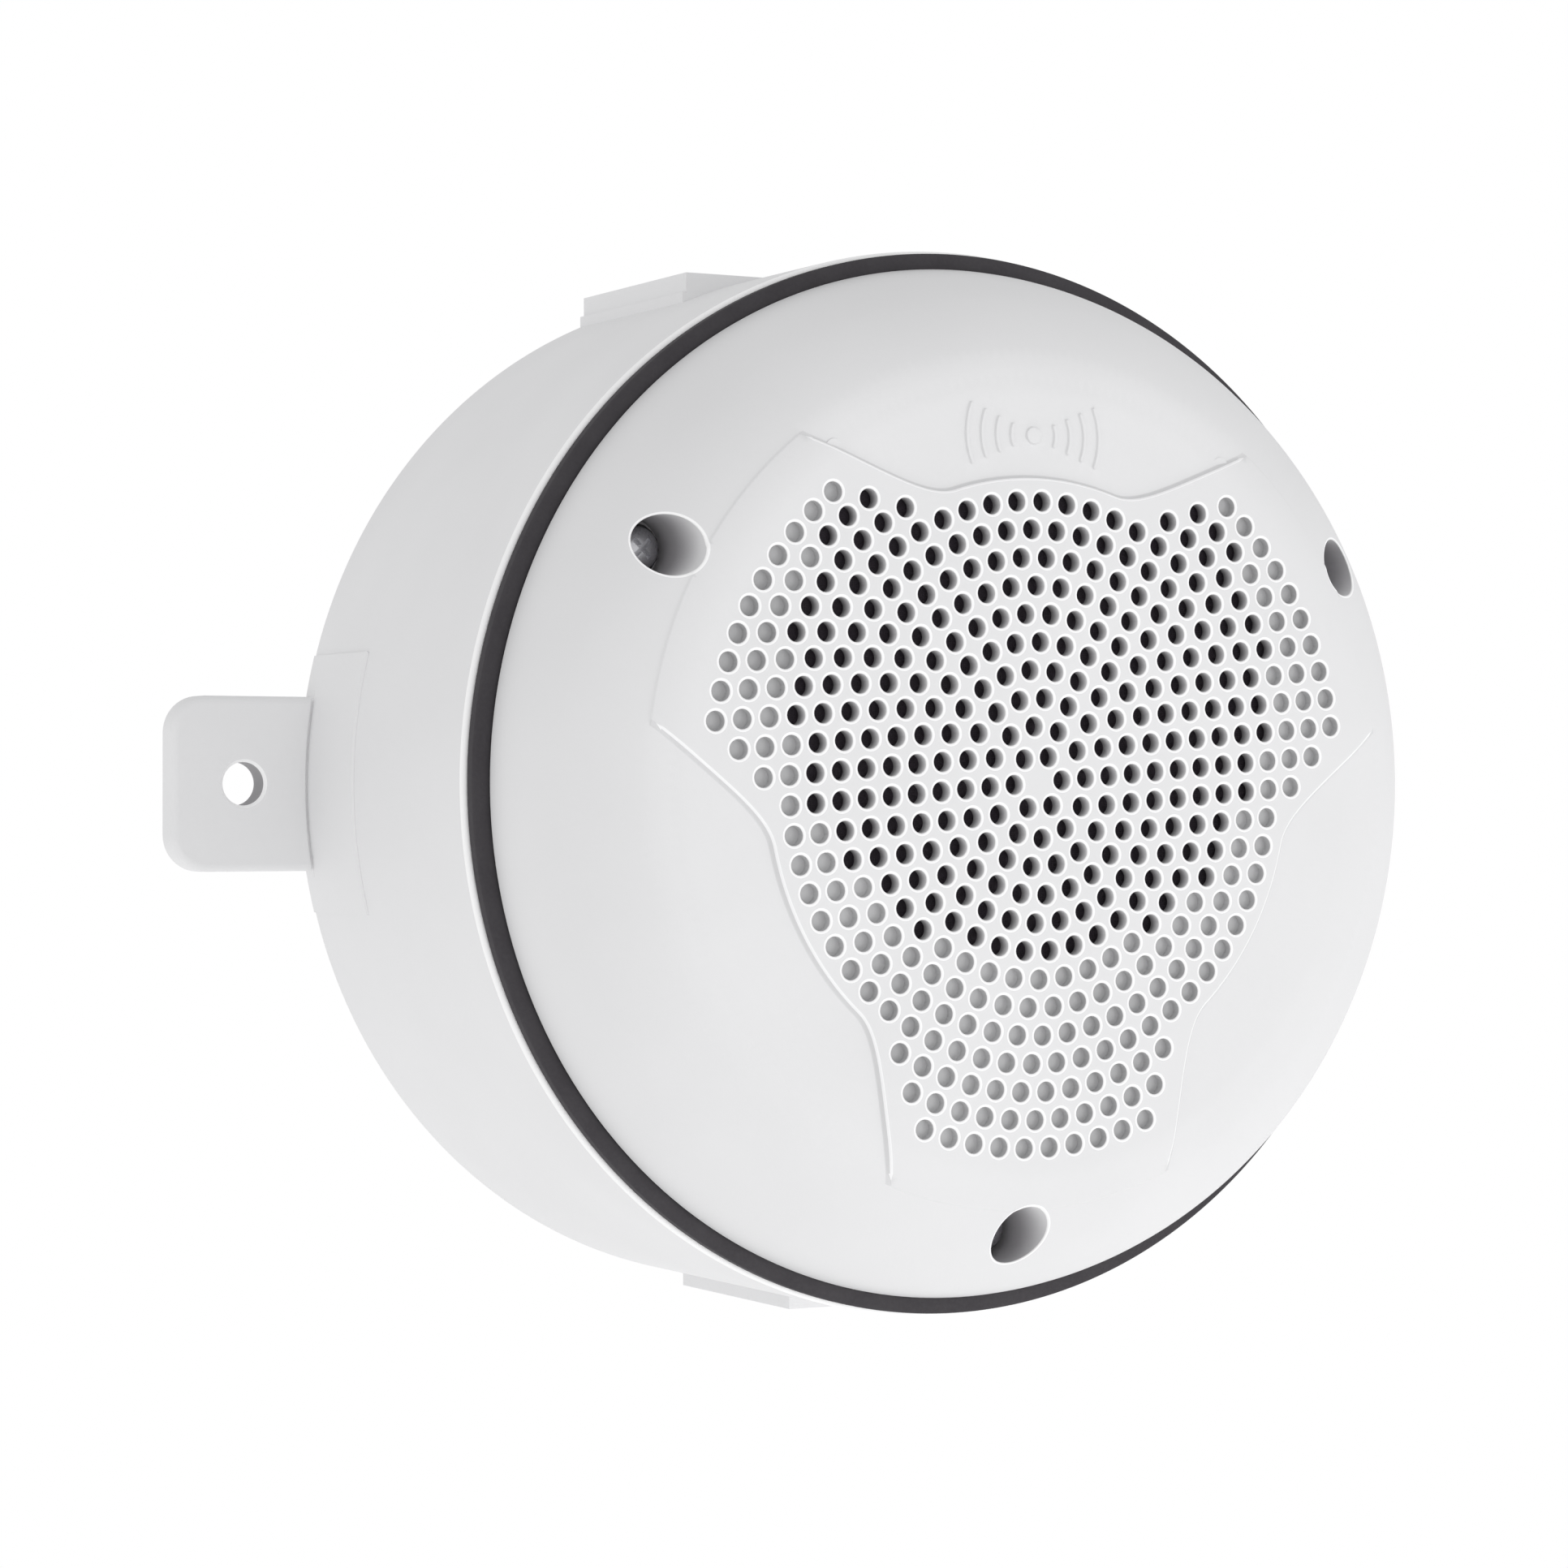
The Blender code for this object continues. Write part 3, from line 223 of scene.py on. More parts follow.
def new_material(name, metallic=0.0, stretch=(1, 1, 1)):
    """New material, its node tree and shader, and the object's own coordinates."""
    material = bpy.data.materials.new(name)
    material.use_nodes = True
    tree = material.node_tree
    shader = tree.nodes["Principled BSDF"]
    shader.inputs["Metallic"].default_value = metallic
    place = add_node(tree, "TexCoord", {}).outputs["Object"]
    mapping = add_node(tree, "Mapping", {"Vector": place, "Scale": stretch})
    return material, tree, shader, mapping.outputs["Vector"]


def noise(tree, vector, scale, detail=2.0):
    return add_node(tree, "TexNoise", {"Vector": vector, "Scale": scale, "Detail": detail}).outputs["Fac"]


def wave(tree, vector, scale, direction, distortion=0.0):
    node = add_node(tree, "TexWave", {"Vector": vector, "Scale": scale, "Distortion": distortion})
    node.bands_direction = direction
    return node.outputs["Fac"]


def spread(tree, value, low, high, reach=PATTERN_REACH):
    """Maps values within reach onto low to high."""
    limits = {"From Min": reach[0], "From Max": reach[1], "To Min": low, "To Max": high}
    return add_node(tree, "MapRange", {"Value": value, **limits}).outputs["Result"]


def two_colours(tree, shader, value, first, second):
    node = add_node(tree, "ValToRGB", {"Fac": value})
    for element, position, colour in zip(node.color_ramp.elements, PATTERN_REACH, (first, second)):
        element.position = position
        element.color = (*colour, 1)
    tree.links.new(node.outputs["Color"], shader.inputs["Base Color"])


def relief(tree, shader, value, height):
    node = add_node(tree, "Bump", {"Height": value, "Strength": 1.0, "Distance": height})
    tree.links.new(node.outputs["Normal"], shader.inputs["Normal"])


def fine_grain(tree, shader, vector, roughness, grain=PLASTIC_GRAIN, height=PLASTIC_RELIEF):
    """Grain in the surface that also breaks up the gloss."""
    grains = noise(tree, vector, grain, 3.0)
    tree.links.new(spread(tree, grains, roughness - 0.05, roughness + 0.05), shader.inputs["Roughness"])
    relief(tree, shader, grains, height)


def grained(name, first, second, roughness, mottle=30.0, grain=PLASTIC_GRAIN, height=PLASTIC_RELIEF,
            metallic=0.0, stretch=(1, 1, 1)):
    """Two close shades in soft patches, under a fine grain."""
    material, tree, shader, vector = new_material(name, metallic, stretch)
    two_colours(tree, shader, noise(tree, vector, mottle), first, second)
    fine_grain(tree, shader, vector, roughness, grain, height)
    return material


def shaded(name, near, far, near_y, far_y):
    """Grained plastic with painted shade that darkens from the mouth of a hole or well towards its far end.
    """
    material, tree, shader, vector = new_material(name)
    y = add_node(tree, "SeparateXYZ", {0: vector}).outputs["Y"]
    depth = spread(tree, y, *PATTERN_REACH, reach=(near_y * MM, far_y * MM))
    two_colours(tree, shader, depth, near, far)
    fine_grain(tree, shader, vector, 0.55)
    return material


def woven(name, first, second, threads, height):
    """Two crossed sets of threads across X and Z, for a fine screen or a dipped cloth."""
    material, tree, shader, vector = new_material(name)
    across = wave(tree, vector, threads, "X")
    along = wave(tree, vector, threads, "Z")
    weave = add_node(tree, "Math", {0: across, 1: along})
    weave.operation = "MULTIPLY"
    two_colours(tree, shader, weave.outputs[0], first, second)
    shader.inputs["Roughness"].default_value = 0.9
    relief(tree, shader, weave.outputs[0], height)
    return material


def banded(name, first, second, scale, direction, roughness, metallic=0.0):
    """Parallel bands, for laminations, windings and tape."""
    material, tree, shader, vector = new_material(name, metallic)
    bands = wave(tree, vector, scale, direction, 0.15)
    two_colours(tree, shader, bands, first, second)
    tree.links.new(spread(tree, noise(tree, vector, 900.0), roughness - 0.06, roughness + 0.06),
                   shader.inputs["Roughness"])
    relief(tree, shader, bands, BAND_RELIEF)
    return material


GRAINED = {  # two shades, roughness, scales of the mottle and the grain, relief, metallic, stretch
    "cover_white": ((0.765, 0.765, 0.77), (0.79, 0.79, 0.795), 0.5),
    "housing_white": ((0.79, 0.79, 0.795), (0.815, 0.815, 0.82), 0.52),
    # painted highlight and painted shade finishes on the white plastic: lips, dimples, petal brows and feet,
    # ear bores
    "lip_white": ((0.98, 0.98, 0.98), (0.995, 0.995, 0.995), 0.4, 30.0, 2500.0, 5e-6),
    "dimple_grey": ((0.52, 0.52, 0.525), (0.60, 0.60, 0.605), 0.6),
    "brow_white": ((0.95, 0.95, 0.955), (0.97, 0.97, 0.975), 0.5),
    "foot_grey": ((0.70, 0.70, 0.705), (0.72, 0.72, 0.725), 0.5),
    "ear_bore_grey": ((0.35, 0.345, 0.355), (0.40, 0.395, 0.405), 0.6),
    "gasket_black": ((0.034, 0.030, 0.035), (0.042, 0.038, 0.043), 0.72, 140.0, 1500.0, 5e-5),
    "inner_rubber": ((0.026, 0.026, 0.028), (0.034, 0.034, 0.036), 0.65, 100.0, 1500.0, 4e-5),
    "screw_steel": ((0.50, 0.50, 0.52), (0.60, 0.60, 0.62), 0.3, 200.0, 1200.0, 1e-5, 1.0, (1, 6, 1)),
    "frame_steel": ((0.40, 0.41, 0.42), (0.50, 0.51, 0.53), 0.38, 90.0, 700.0, 1e-5, 1.0),
    "cone_paper": ((0.024, 0.024, 0.027), (0.040, 0.040, 0.043), 0.85, 260.0, 900.0, 1e-4, 0.0, (1, 3, 1)),
    "ferrite": ((0.042, 0.042, 0.046), (0.060, 0.060, 0.065), 0.55, 160.0, 1600.0, 4e-5),
    "board_green": ((0.022, 0.13, 0.055), (0.038, 0.19, 0.085), 0.4, 160.0, 900.0),
    "dark_plastic": ((0.026, 0.026, 0.030), (0.036, 0.036, 0.041), 0.45, 30.0, 1800.0),
    "terminal_blue": ((0.045, 0.125, 0.33), (0.055, 0.155, 0.40), 0.45),
    "slider_red": ((0.42, 0.025, 0.025), (0.50, 0.04, 0.035), 0.42),
}
SHADED = {  # near and far painted shade, and the places along Y where they are reached
    "bore_grey": ((0.90, 0.90, 0.905), (0.16, 0.15, 0.16), FRONT_Y + 0.3, FRONT_Y + COVER_WALL + 0.8),
    "well_grey": ((0.80, 0.80, 0.805), (0.54, 0.53, 0.545), -93.0, -84.0),
}
WOVEN = {  # two shades, scale of the threads, relief
    "screen_black": ((0.055, 0.045, 0.057), (0.120, 0.104, 0.124), 900.0, 5e-5),
    "spider_cloth": ((0.34, 0.23, 0.08), (0.50, 0.37, 0.16), 650.0, 8e-5),
}
BANDED = {  # two shades, scale and direction of the bands, roughness, metallic
    "coil_copper": ((0.45, 0.18, 0.08), (0.70, 0.33, 0.17), 1400.0, "Y", 0.35, 1.0),
    "core_steel": ((0.14, 0.14, 0.15), (0.27, 0.27, 0.28), 900.0, "Z", 0.5, 1.0),
    "winding_tape": ((0.54, 0.37, 0.06), (0.66, 0.47, 0.10), 60.0, "Z", 0.35),
}


def make_materials():
    """One material for each of the record's slots, and some with painted highlights and painted shade for the
    lips, holes and steps of the shells.
    """
    recipes = ((grained, GRAINED), (shaded, SHADED), (woven, WOVEN), (banded, BANDED))
    return {name: make(name, *recipe) for make, table in recipes for name, recipe in table.items()}


# Mesh building

def smooth(value, low, high):
    """0 below low and 1 above high, with an S-shaped rise between them."""
    t = np.clip((value - low) / (high - low), 0, 1)
    return t * t * (3 - 2 * t)


def add_object(name, data):
    obj = bpy.data.objects.new(name, data)
    bpy.context.scene.collection.objects.link(obj)
    return obj


class Skin:
    """The cover's mesh, gathered as points in millimetres and faces with a normal for each corner."""

    def __init__(self):
        self.points = []
        self.faces = []
        self.normals = []
        self.finishes = []

    def add_points(self, points):
        start = len(self.points)
        self.points += [tuple(point) for point in points]
        return list(range(start, len(self.points)))

    def add_face(self, corners, normals=None, finish="cover_white"):
        if normals is None:
            a, b, c = (Vector(self.points[corner]) for corner in corners[:3])
            normals = [(b - a).cross(c - a).normalized()] * len(corners)
        self.faces.append(corners)
        self.normals += [tuple(normal) for normal in normals]
        self.finishes.append(finish)

    def band(self, first, second, first_normals=None, second_normals=None, finish="cover_white"):
        """Quads from one loop to the next. They face the axis if the second loop lies further back."""
        count = len(first)
        for k in range(count):
            m = (k + 1) % count
            normals = None
            if first_normals is not None:
                normals = (first_normals[k], first_normals[m], second_normals[m], second_normals[k])
            self.add_face((first[k], first[m], second[m], second[k]), normals, finish)

    def make(self, name, mats):
        mesh = bpy.data.meshes.new(name)
        mesh.from_pydata([(x * MM, y * MM, z * MM) for x, y, z in self.points], [], self.faces)
        for finish in COVER_FINISHES:
            mesh.materials.append(mats[finish])
        indices = [COVER_FINISHES.index(finish) for finish in self.finishes]
        mesh.polygons.foreach_set("material_index", indices)
        mesh.shade_smooth()
        mesh.normals_split_custom_set(self.normals)
        return add_object(name, mesh)


def shade(mesh):
    mesh.shade_smooth()
    mesh.set_sharp_from_angle(angle=SHARP_ANGLE)


def new_object(name, bm, materials=()):
    bmesh.ops.recalc_face_normals(bm, faces=bm.faces)
    mesh = bpy.data.meshes.new(name)
    bm.to_mesh(mesh)
    bm.free()
    shade(mesh)
    for material in materials:
        mesh.materials.append(material)
    return add_object(name, mesh)


def around(axis, radius, along, angle):
    """Point in metres at this radius, angle and distance along the X, Y or Z axis."""
    u, v, w = radius * cos(angle) * MM, radius * sin(angle) * MM, along * MM
    return {"X": (w, u, v), "Y": (u, w, v), "Z": (u, v, w)}[axis]


def bridge(bm, rows):
    """Quads from each row of points to the next."""
    for near, far in zip(rows, rows[1:]):
        for k in range(len(near)):
            m = (k + 1) % len(near)
            bm.faces.new((near[k], near[m], far[m], far[k]))


def lathe(name, outline, materials=(), at=(0, 0), axis="Y", steps=AROUND, ring=False):
    """Solid of revolution. outline lists (radius, distance along the axis), and a ring's closes on itself."""
    bm = bmesh.new()
    circles = [
        [bm.verts.new(around(axis, radius, along, 2 * pi * k / steps)) for k in range(steps)]
        for radius, along in outline
    ]
    bridge(bm, circles + circles[:1] if ring else circles)
    if not ring:
        bm.faces.new(circles[0])
        bm.faces.new(circles[-1])
    obj = new_object(name, bm, materials)
    u, v = at[0] * MM, at[1] * MM
    obj.location = {"X": (0, u, v), "Y": (u, 0, v), "Z": (u, v, 0)}[axis]
    return obj


def loft(name, loops):
    """Closed solid through loops of (x, y, z) points, all with as many points."""
    bm = bmesh.new()
    rows = [[bm.verts.new(Vector(point) * MM) for point in loop] for loop in loops]
    bridge(bm, rows)
    bm.faces.new(rows[0])
    bm.faces.new(rows[-1])
    return new_object(name, bm)


def block(name, low, high, centre=(0, 0, 0)):
    """Box between two corners measured from its centre."""
    bm = bmesh.new()
    bmesh.ops.create_cube(bm, size=1)
    size = Vector(high) - Vector(low)
    middle = (Vector(high) + Vector(low)) / 2
    bmesh.ops.transform(bm, matrix=Matrix.Translation(middle * MM) @ Matrix.Diagonal((*size * MM, 1)),
                        verts=bm.verts)
    obj = new_object(name, bm)
    obj.location = Vector(centre) * MM
    return obj


def combine(obj, tool, operation):
    modifier = obj.modifiers.new(tool.name, "BOOLEAN")
    modifier.operation = operation
    modifier.object = tool


def settle(obj):
    """Applies an object's modifiers, removes the tools that they used, and shades it smooth again."""
    tools = [modifier.object for modifier in obj.modifiers if modifier.type == "BOOLEAN"]
    bpy.context.view_layer.update()
    graph = bpy.context.evaluated_depsgraph_get()
    mesh = bpy.data.meshes.new_from_object(obj.evaluated_get(graph))
    obj.modifiers.clear()
    obj.data = mesh
    for tool in tools:
        bpy.data.objects.remove(tool, do_unlink=True)
    shade(mesh)
    weighted = obj.modifiers.new("even_shading", "WEIGHTED_NORMAL")
    weighted.keep_sharp = True
    return obj


# Shape of the front cover

def shoulder_circle():
    """(radius, drop) of the centre of the shoulder's arc, and the arc's own radius."""
    end_drop = COVER_BACK_Y - FRONT_Y
    run, fall = COVER_RADIUS - CREASE_RADIUS, end_drop - CREASE_DROP
    chord = hypot(run, fall)
    half = 2 * atan(2 * SHOULDER_SAGITTA / chord)
    radius = chord / 2 / sin(half)
    back = radius - SHOULDER_SAGITTA
    centre = ((CREASE_RADIUS + COVER_RADIUS) / 2 - fall / chord * back,
              (CREASE_DROP + end_drop) / 2 + run / chord * back)
    return centre, radius


SHOULDER_CENTRE, SHOULDER_ARC = shoulder_circle()


def dome_drop(radius):
    """How far the cover's plain dome lies behind its front plane."""
    curve = DOME_SAG / DOME_AT ** 2
    face = curve * np.minimum(radius, ROLL_RADIUS) ** 2
    begin, width = 2 * curve * ROLL_RADIUS, CREASE_RADIUS - ROLL_RADIUS
    end = 2 * (CREASE_DROP - curve * ROLL_RADIUS ** 2) / width - begin
    over = np.clip(radius - ROLL_RADIUS, 0, width)
    face = face + begin * over + (end - begin) * over ** 2 / 2 / width
    across = np.clip(radius - SHOULDER_CENTRE[0], 0, SHOULDER_ARC)
    shoulder = SHOULDER_CENTRE[1] - np.sqrt(SHOULDER_ARC ** 2 - across ** 2)
    return np.where(radius < CREASE_RADIUS, face, shoulder)


def petal_edge(angle):
    """Radius of the petal's inner edge at an angle from the petal's own centre, and its slope."""
    over = np.maximum(np.abs(angle) - PETAL_KINK, 0) / (PETAL_END - PETAL_KINK)
    radius = PETAL_INNER + PETAL_RISE * over ** PETAL_POWER
    slope = PETAL_RISE * PETAL_POWER * over ** (PETAL_POWER - 1) / (PETAL_END - PETAL_KINK)
    return radius, slope


def petal_angle(x, z):
    """Angle from the nearest petal's centre line."""
    third = 2 * pi / 3
    turned = np.arctan2(z, x) - PETAL_ANGLES[0] + third / 2
    return np.mod(turned, third) - third / 2


def sign_distance(x, z):
    """Distance from the centre line of the sign's nearest stroke, less that stroke's half width."""
    u, v = x, z - SIGN_Z
    nearest = np.hypot(u, v) - SIGN_DOT
    for radius, side in SIGN_STROKES:
        forward = u * cos(side)
        angle = np.clip(np.arctan2(v, forward), -SIGN_SPREAD, SIGN_SPREAD)
        off = np.hypot(forward - radius * np.cos(angle), v - radius * np.sin(angle))
        nearest = np.minimum(nearest, off - SIGN_STROKE)
    return nearest


def into_petal(x, z):
    """Distance past the nearest petal's inner edge, negative on the perforated field."""
    edge, slope = petal_edge(petal_angle(x, z))
    return (np.hypot(x, z) - edge) / np.sqrt(1 + (slope / edge) ** 2)


def skin_drop(x, z):
    """How far the cover's outer skin lies behind its front plane, with the lobes, petals and sign."""
    radius = np.hypot(x, z)
    fade = np.clip((CREASE_RADIUS - radius) / PETAL_FADE, 0, 1)
    petal = LOBE_STEP + (PETAL_STEP - LOBE_STEP) * fade
    petal *= smooth(into_petal(x, z), -PETAL_STEP_HALF, PETAL_STEP_HALF)
    lobe = LOBE_STEP * smooth(radius - FIELD_EDGE, -LOBE_STEP_HALF, LOBE_STEP_HALF)
    step = np.maximum(petal, lobe) * (1 - smooth(radius, *STEP_FADE))
    sign = SIGN_RISE * (1 - smooth(sign_distance(x, z), -SIGN_EDGE, 0.0))
    return dome_drop(radius) + step - sign


def inner_profile():
    """(radius, drop) samples of the cover's inner skin, one wall inside the outer one."""
    radius = np.linspace(0.0, COVER_RADIUS, 600)
    drop = dome_drop(radius)
    slope = np.gradient(drop, radius)
    length = np.sqrt(1 + slope ** 2)
    return radius - slope / length * COVER_WALL, drop + COVER_WALL / length


INNER_RADII, INNER_DROPS = inner_profile()


def inner_drop(x, z):
    return np.interp(np.hypot(x, z), INNER_RADII, INNER_DROPS)


def height_normals(drop, x, z, side):
    """Unit normals of the height field, towards the front with side 1 or the back with side -1."""
    step = 0.01
    in_x = (drop(x + step, z) - drop(x - step, z)) / (2 * step)
    in_z = (drop(x, z + step) - drop(x, z - step)) / (2 * step)
    normals = np.stack([in_x, -np.ones_like(in_x), in_z], axis=1) * side
    return normals / np.linalg.norm(normals, axis=1)[:, None]


def circle_points(centre, radius, steps):
    return [(centre[0] + radius * cos(2 * pi * k / steps), centre[1] + radius * sin(2 * pi * k / steps))
            for k in range(steps)]


def hole_places():
    """(x, z) of each grille hole: full rings, then the part rings of the three lobes."""
    places = []
    for ring in range(1, FULL_RINGS + 1):
        places += [polar(ring * PITCH, RING_PHASE + 2 * pi * k / (6 * ring)) for k in range(6 * ring)]
    for ring, count in LOBE_RINGS.items():
        step = 2 * pi / (6 * ring)
        for lobe in LOBE_ANGLES:
            first = RING_PHASE + step * round((lobe - step * (count - 1) / 2 - RING_PHASE) / step)
            places += [polar(ring * PITCH, first + step * k) for k in range(count)]
    return places


def relief_lines():
    """Lines of points that follow the petals' edges, the lobes' outer edges and the sign."""
    lines = []
    offsets = [PETAL_STEP_HALF * k / 2 for k in (-2.4, -1.2, -0.4, 0.4, 1.2, 2.4)]
    for centre in PETAL_ANGLES:
        for offset in offsets:
            line = []
            for angle in np.linspace(-PETAL_END, PETAL_END, 85):
                edge, slope = petal_edge(angle)
                radial = centre + angle
                square = radial - np.arctan(slope / edge) * np.sign(angle)
                x, z = polar(float(edge), radial)
                x, z = x + offset * cos(square), z + offset * sin(square)
                if hypot(x, z) < FIELD_EDGE - LOBE_STEP_HALF - 0.3:
                    line.append((x, z))
            lines.append(line)
    half_lobe = pi / 3 - PETAL_END
    for centre in LOBE_ANGLES:
        for offset in (-LOBE_STEP_HALF, 0.0, LOBE_STEP_HALF):
            for side in (-1, 1):
                turns = np.linspace(radians(2.8), half_lobe + radians(0.6), 26)
                lines.append([polar(FIELD_EDGE + offset, centre + side * turn) for turn in turns])
    for rise in (0.0, SIGN_EDGE):
        lines.append(circle_points((0, SIGN_Z), SIGN_DOT - rise, 28) + [(SIGN_DOT - rise, SIGN_Z)])
        for radius, side in SIGN_STROKES:
            width = SIGN_STROKE - rise
            turns = np.linspace(-SIGN_SPREAD, SIGN_SPREAD, 9 + int(radius))
            shape = []
            for arc, first, up in ((turns, SIGN_SPREAD, 1), (turns[::-1], pi - SIGN_SPREAD, -1)):
                shape += [polar(radius + up * width, turn) for turn in arc]
                for k in range(1, CAP_STEPS):
                    u, v = polar(width, first + pi * k / CAP_STEPS)
                    shape.append((radius * cos(SIGN_SPREAD) + u, up * radius * sin(SIGN_SPREAD) + v))
            shape.append(shape[0])
            lines.append([(cos(side) * u, SIGN_Z + v) for u, v in shape])
    return lines


def fill_rings(apart, along, dense, count):
    """(radius, count) of rings of points: even ones inside EVEN_RADIUS, and then the dense radii."""
    rings = [(radius, int(2 * pi * radius / along)) for radius in np.arange(apart, EVEN_RADIUS, apart)]
    return rings + [(radius, count) for radius in dense]


def fill_points(taken, loops, rings, clear):
    """Points on rings, clear of the taken points and outside the round loops."""
    tree = KDTree(len(taken))
    for index, (x, z) in enumerate(taken):
        tree.insert((x, z, 0), index)
    tree.balance()
    points = []
    for row, (radius, count) in enumerate(rings):
        points += [polar(radius, 2 * pi * (k + row % 2 / 2) / count) for k in range(count)]
    points = np.array(points)
    outside = np.ones(len(points), bool)
    for loop in loops:
        centre = np.mean(loop, axis=0)
        reach = hypot(loop[0][0] - centre[0], loop[0][1] - centre[1])
        outside &= np.hypot(*(points - centre).T) > reach
    return [(x, z) for x, z in points[outside].tolist() if tree.find((x, z, 0))[2] > clear]


def triangulate(skin, rim, loops, lines, rings, clear, drop, side):
    """Meshes the disc inside rim, a loop of points already in the skin, leaving the loops' insides open.

    Returns the loops' points in the skin and their normals.
    """
    flat = [(skin.points[index][0], skin.points[index][2]) for index in rim]
    owner = [-1] * len(flat)
    edges = [(k, (k + 1) % len(rim)) for k in range(len(rim))]
    starts = []
    for number, loop in enumerate(loops):
        start = len(flat)
        starts.append(start)
        flat += loop
        owner += [number] * len(loop)
        edges += [(start + k, start + (k + 1) % len(loop)) for k in range(len(loop))]
    for line in lines:
        start = len(flat)
        flat += line
        edges += [(start + k, start + k + 1) for k in range(len(line) - 1)]
    flat += fill_points(flat, loops, rings, clear)
    owner += [-1] * (len(flat) + 1 - len(owner))
    made, _, faces, sources, _, _ = delaunay_2d_cdt([Vector(point) for point in flat], edges, [], 0, 1e-6)
    x, z = np.array([point[:] for point in made]).T
    y = FRONT_Y + drop(x, z)
    normals = height_normals(drop, x, z, side)
    place, owners = [], []
    where = {}
    for index, source in enumerate(sources):
        first = source[0] if source else len(flat)
        owners.append(owner[first])
        if first < len(rim):
            place.append(rim[first])
        else:
            place += skin.add_points([(x[index], y[index], z[index])])
        where[first] = index
    for face in faces:
        a, b, c = face
        if owners[a] >= 0 and owners[a] == owners[b] == owners[c]:
            continue
        corners = (a, b, c) if side > 0 else (a, c, b)
        skin.add_face(tuple(place[corner] for corner in corners), [normals[corner] for corner in corners])
    result = []
    for start, loop in zip(starts, loops):
        members = [where[start + k] for k in range(len(loop))]
        result.append(([place[member] for member in members], [normals[member] for member in members]))
    return result


def sunk_circle(skin, centre, radius, steps, depth=None, y=None):
    """Circle of points at a depth below the outer skin, or all at one y."""
    x, z = np.array(circle_points(centre, radius, steps)).T
    level = FRONT_Y + skin_drop(x, z) + depth if y is None else np.full(len(x), y)
    return skin.add_points(zip(x, level, z))


def outward(steps, radial, back):
    """Corner normals for a loop: this much away from its axis, and this much towards the back."""
    length = hypot(radial, back)
    turns = [2 * pi * k / steps for k in range(steps)]
    return [(radial / length * cos(t), back / length, radial / length * sin(t)) for t in turns]


def lip_and_wall(skin, centre, radius, lip, loop, loop_normals):
    """Rounded lip with a painted highlight, from a loop on the skin to the wall of a hole. Returns the wall's
    first loop.
    """
    (width, depth), (out, back), steps = lip, LIP_BEND, len(loop)
    middle = sunk_circle(skin, centre, radius + width * out, steps, depth=width * back)
    edge = sunk_circle(skin, centre, radius, steps, depth=depth)
    half, inward = outward(steps, -LIP_LEAN, -1), outward(steps, -1, 0)
    skin.band(loop, middle, loop_normals, half, "lip_white")
    skin.band(middle, edge, half, inward, "lip_white")
    return edge, inward


def shoulder_station(arc, turn, side):
    """(radius, drop, outward, back) of a point on the shoulder's arc and its normal, with side -1 inside."""
    radius, drop = SHOULDER_CENTRE
    return radius + arc * sin(turn), drop - arc * cos(turn), side * sin(turn), -side * cos(turn)


def rim_rings(skin):
    """Rings from the triangulated skin round the rim to the inner skin. Returns the first and last loops."""
    (middle, low), arc, end = SHOULDER_CENTRE, SHOULDER_ARC, COVER_BACK_Y - FRONT_Y
    first, last = asin((MESHED_RADIUS - middle) / arc), asin((COVER_RADIUS - middle) / arc) - 0.012
    stations = [shoulder_station(arc, turn, 1) for turn in np.linspace(first, last, RIM_RINGS)]
    inner_arc = arc - COVER_WALL
    inner = middle + sqrt(inner_arc ** 2 - (end - low) ** 2)
    stations += [(COVER_RADIUS - 0.08, end - 0.15, 0.7, 0.7), (COVER_RADIUS - 0.3, end, 0, 1),
                 (inner + 0.2, end, 0, 1), (inner, end - 0.2, -0.7, 0.7)]
    first = asin((INNER_MESHED_RADIUS - middle) / inner_arc)
    last = asin((inner - middle) / inner_arc) - 0.03
    stations += [shoulder_station(inner_arc, turn, -1) for turn in np.linspace(last, first, INNER_RIM_RINGS)]
    loops = []
    for radius, drop, radial, back in stations:
        points = circle_points((0, 0), radius, AROUND)
        if len(loops) < RIM_RINGS:
            x, z = np.array(points).T
            drop = skin_drop(x, z)
        drops = np.broadcast_to(drop, AROUND)
        loop = skin.add_points((x, FRONT_Y + fall, z) for (x, z), fall in zip(points, drops))
        loops.append((loop, outward(AROUND, radial, back)))
    for (previous, before), (following, after) in zip(loops, loops[1:]):
        skin.band(following, previous, after, before)
    return loops[0][0], loops[-1][0]


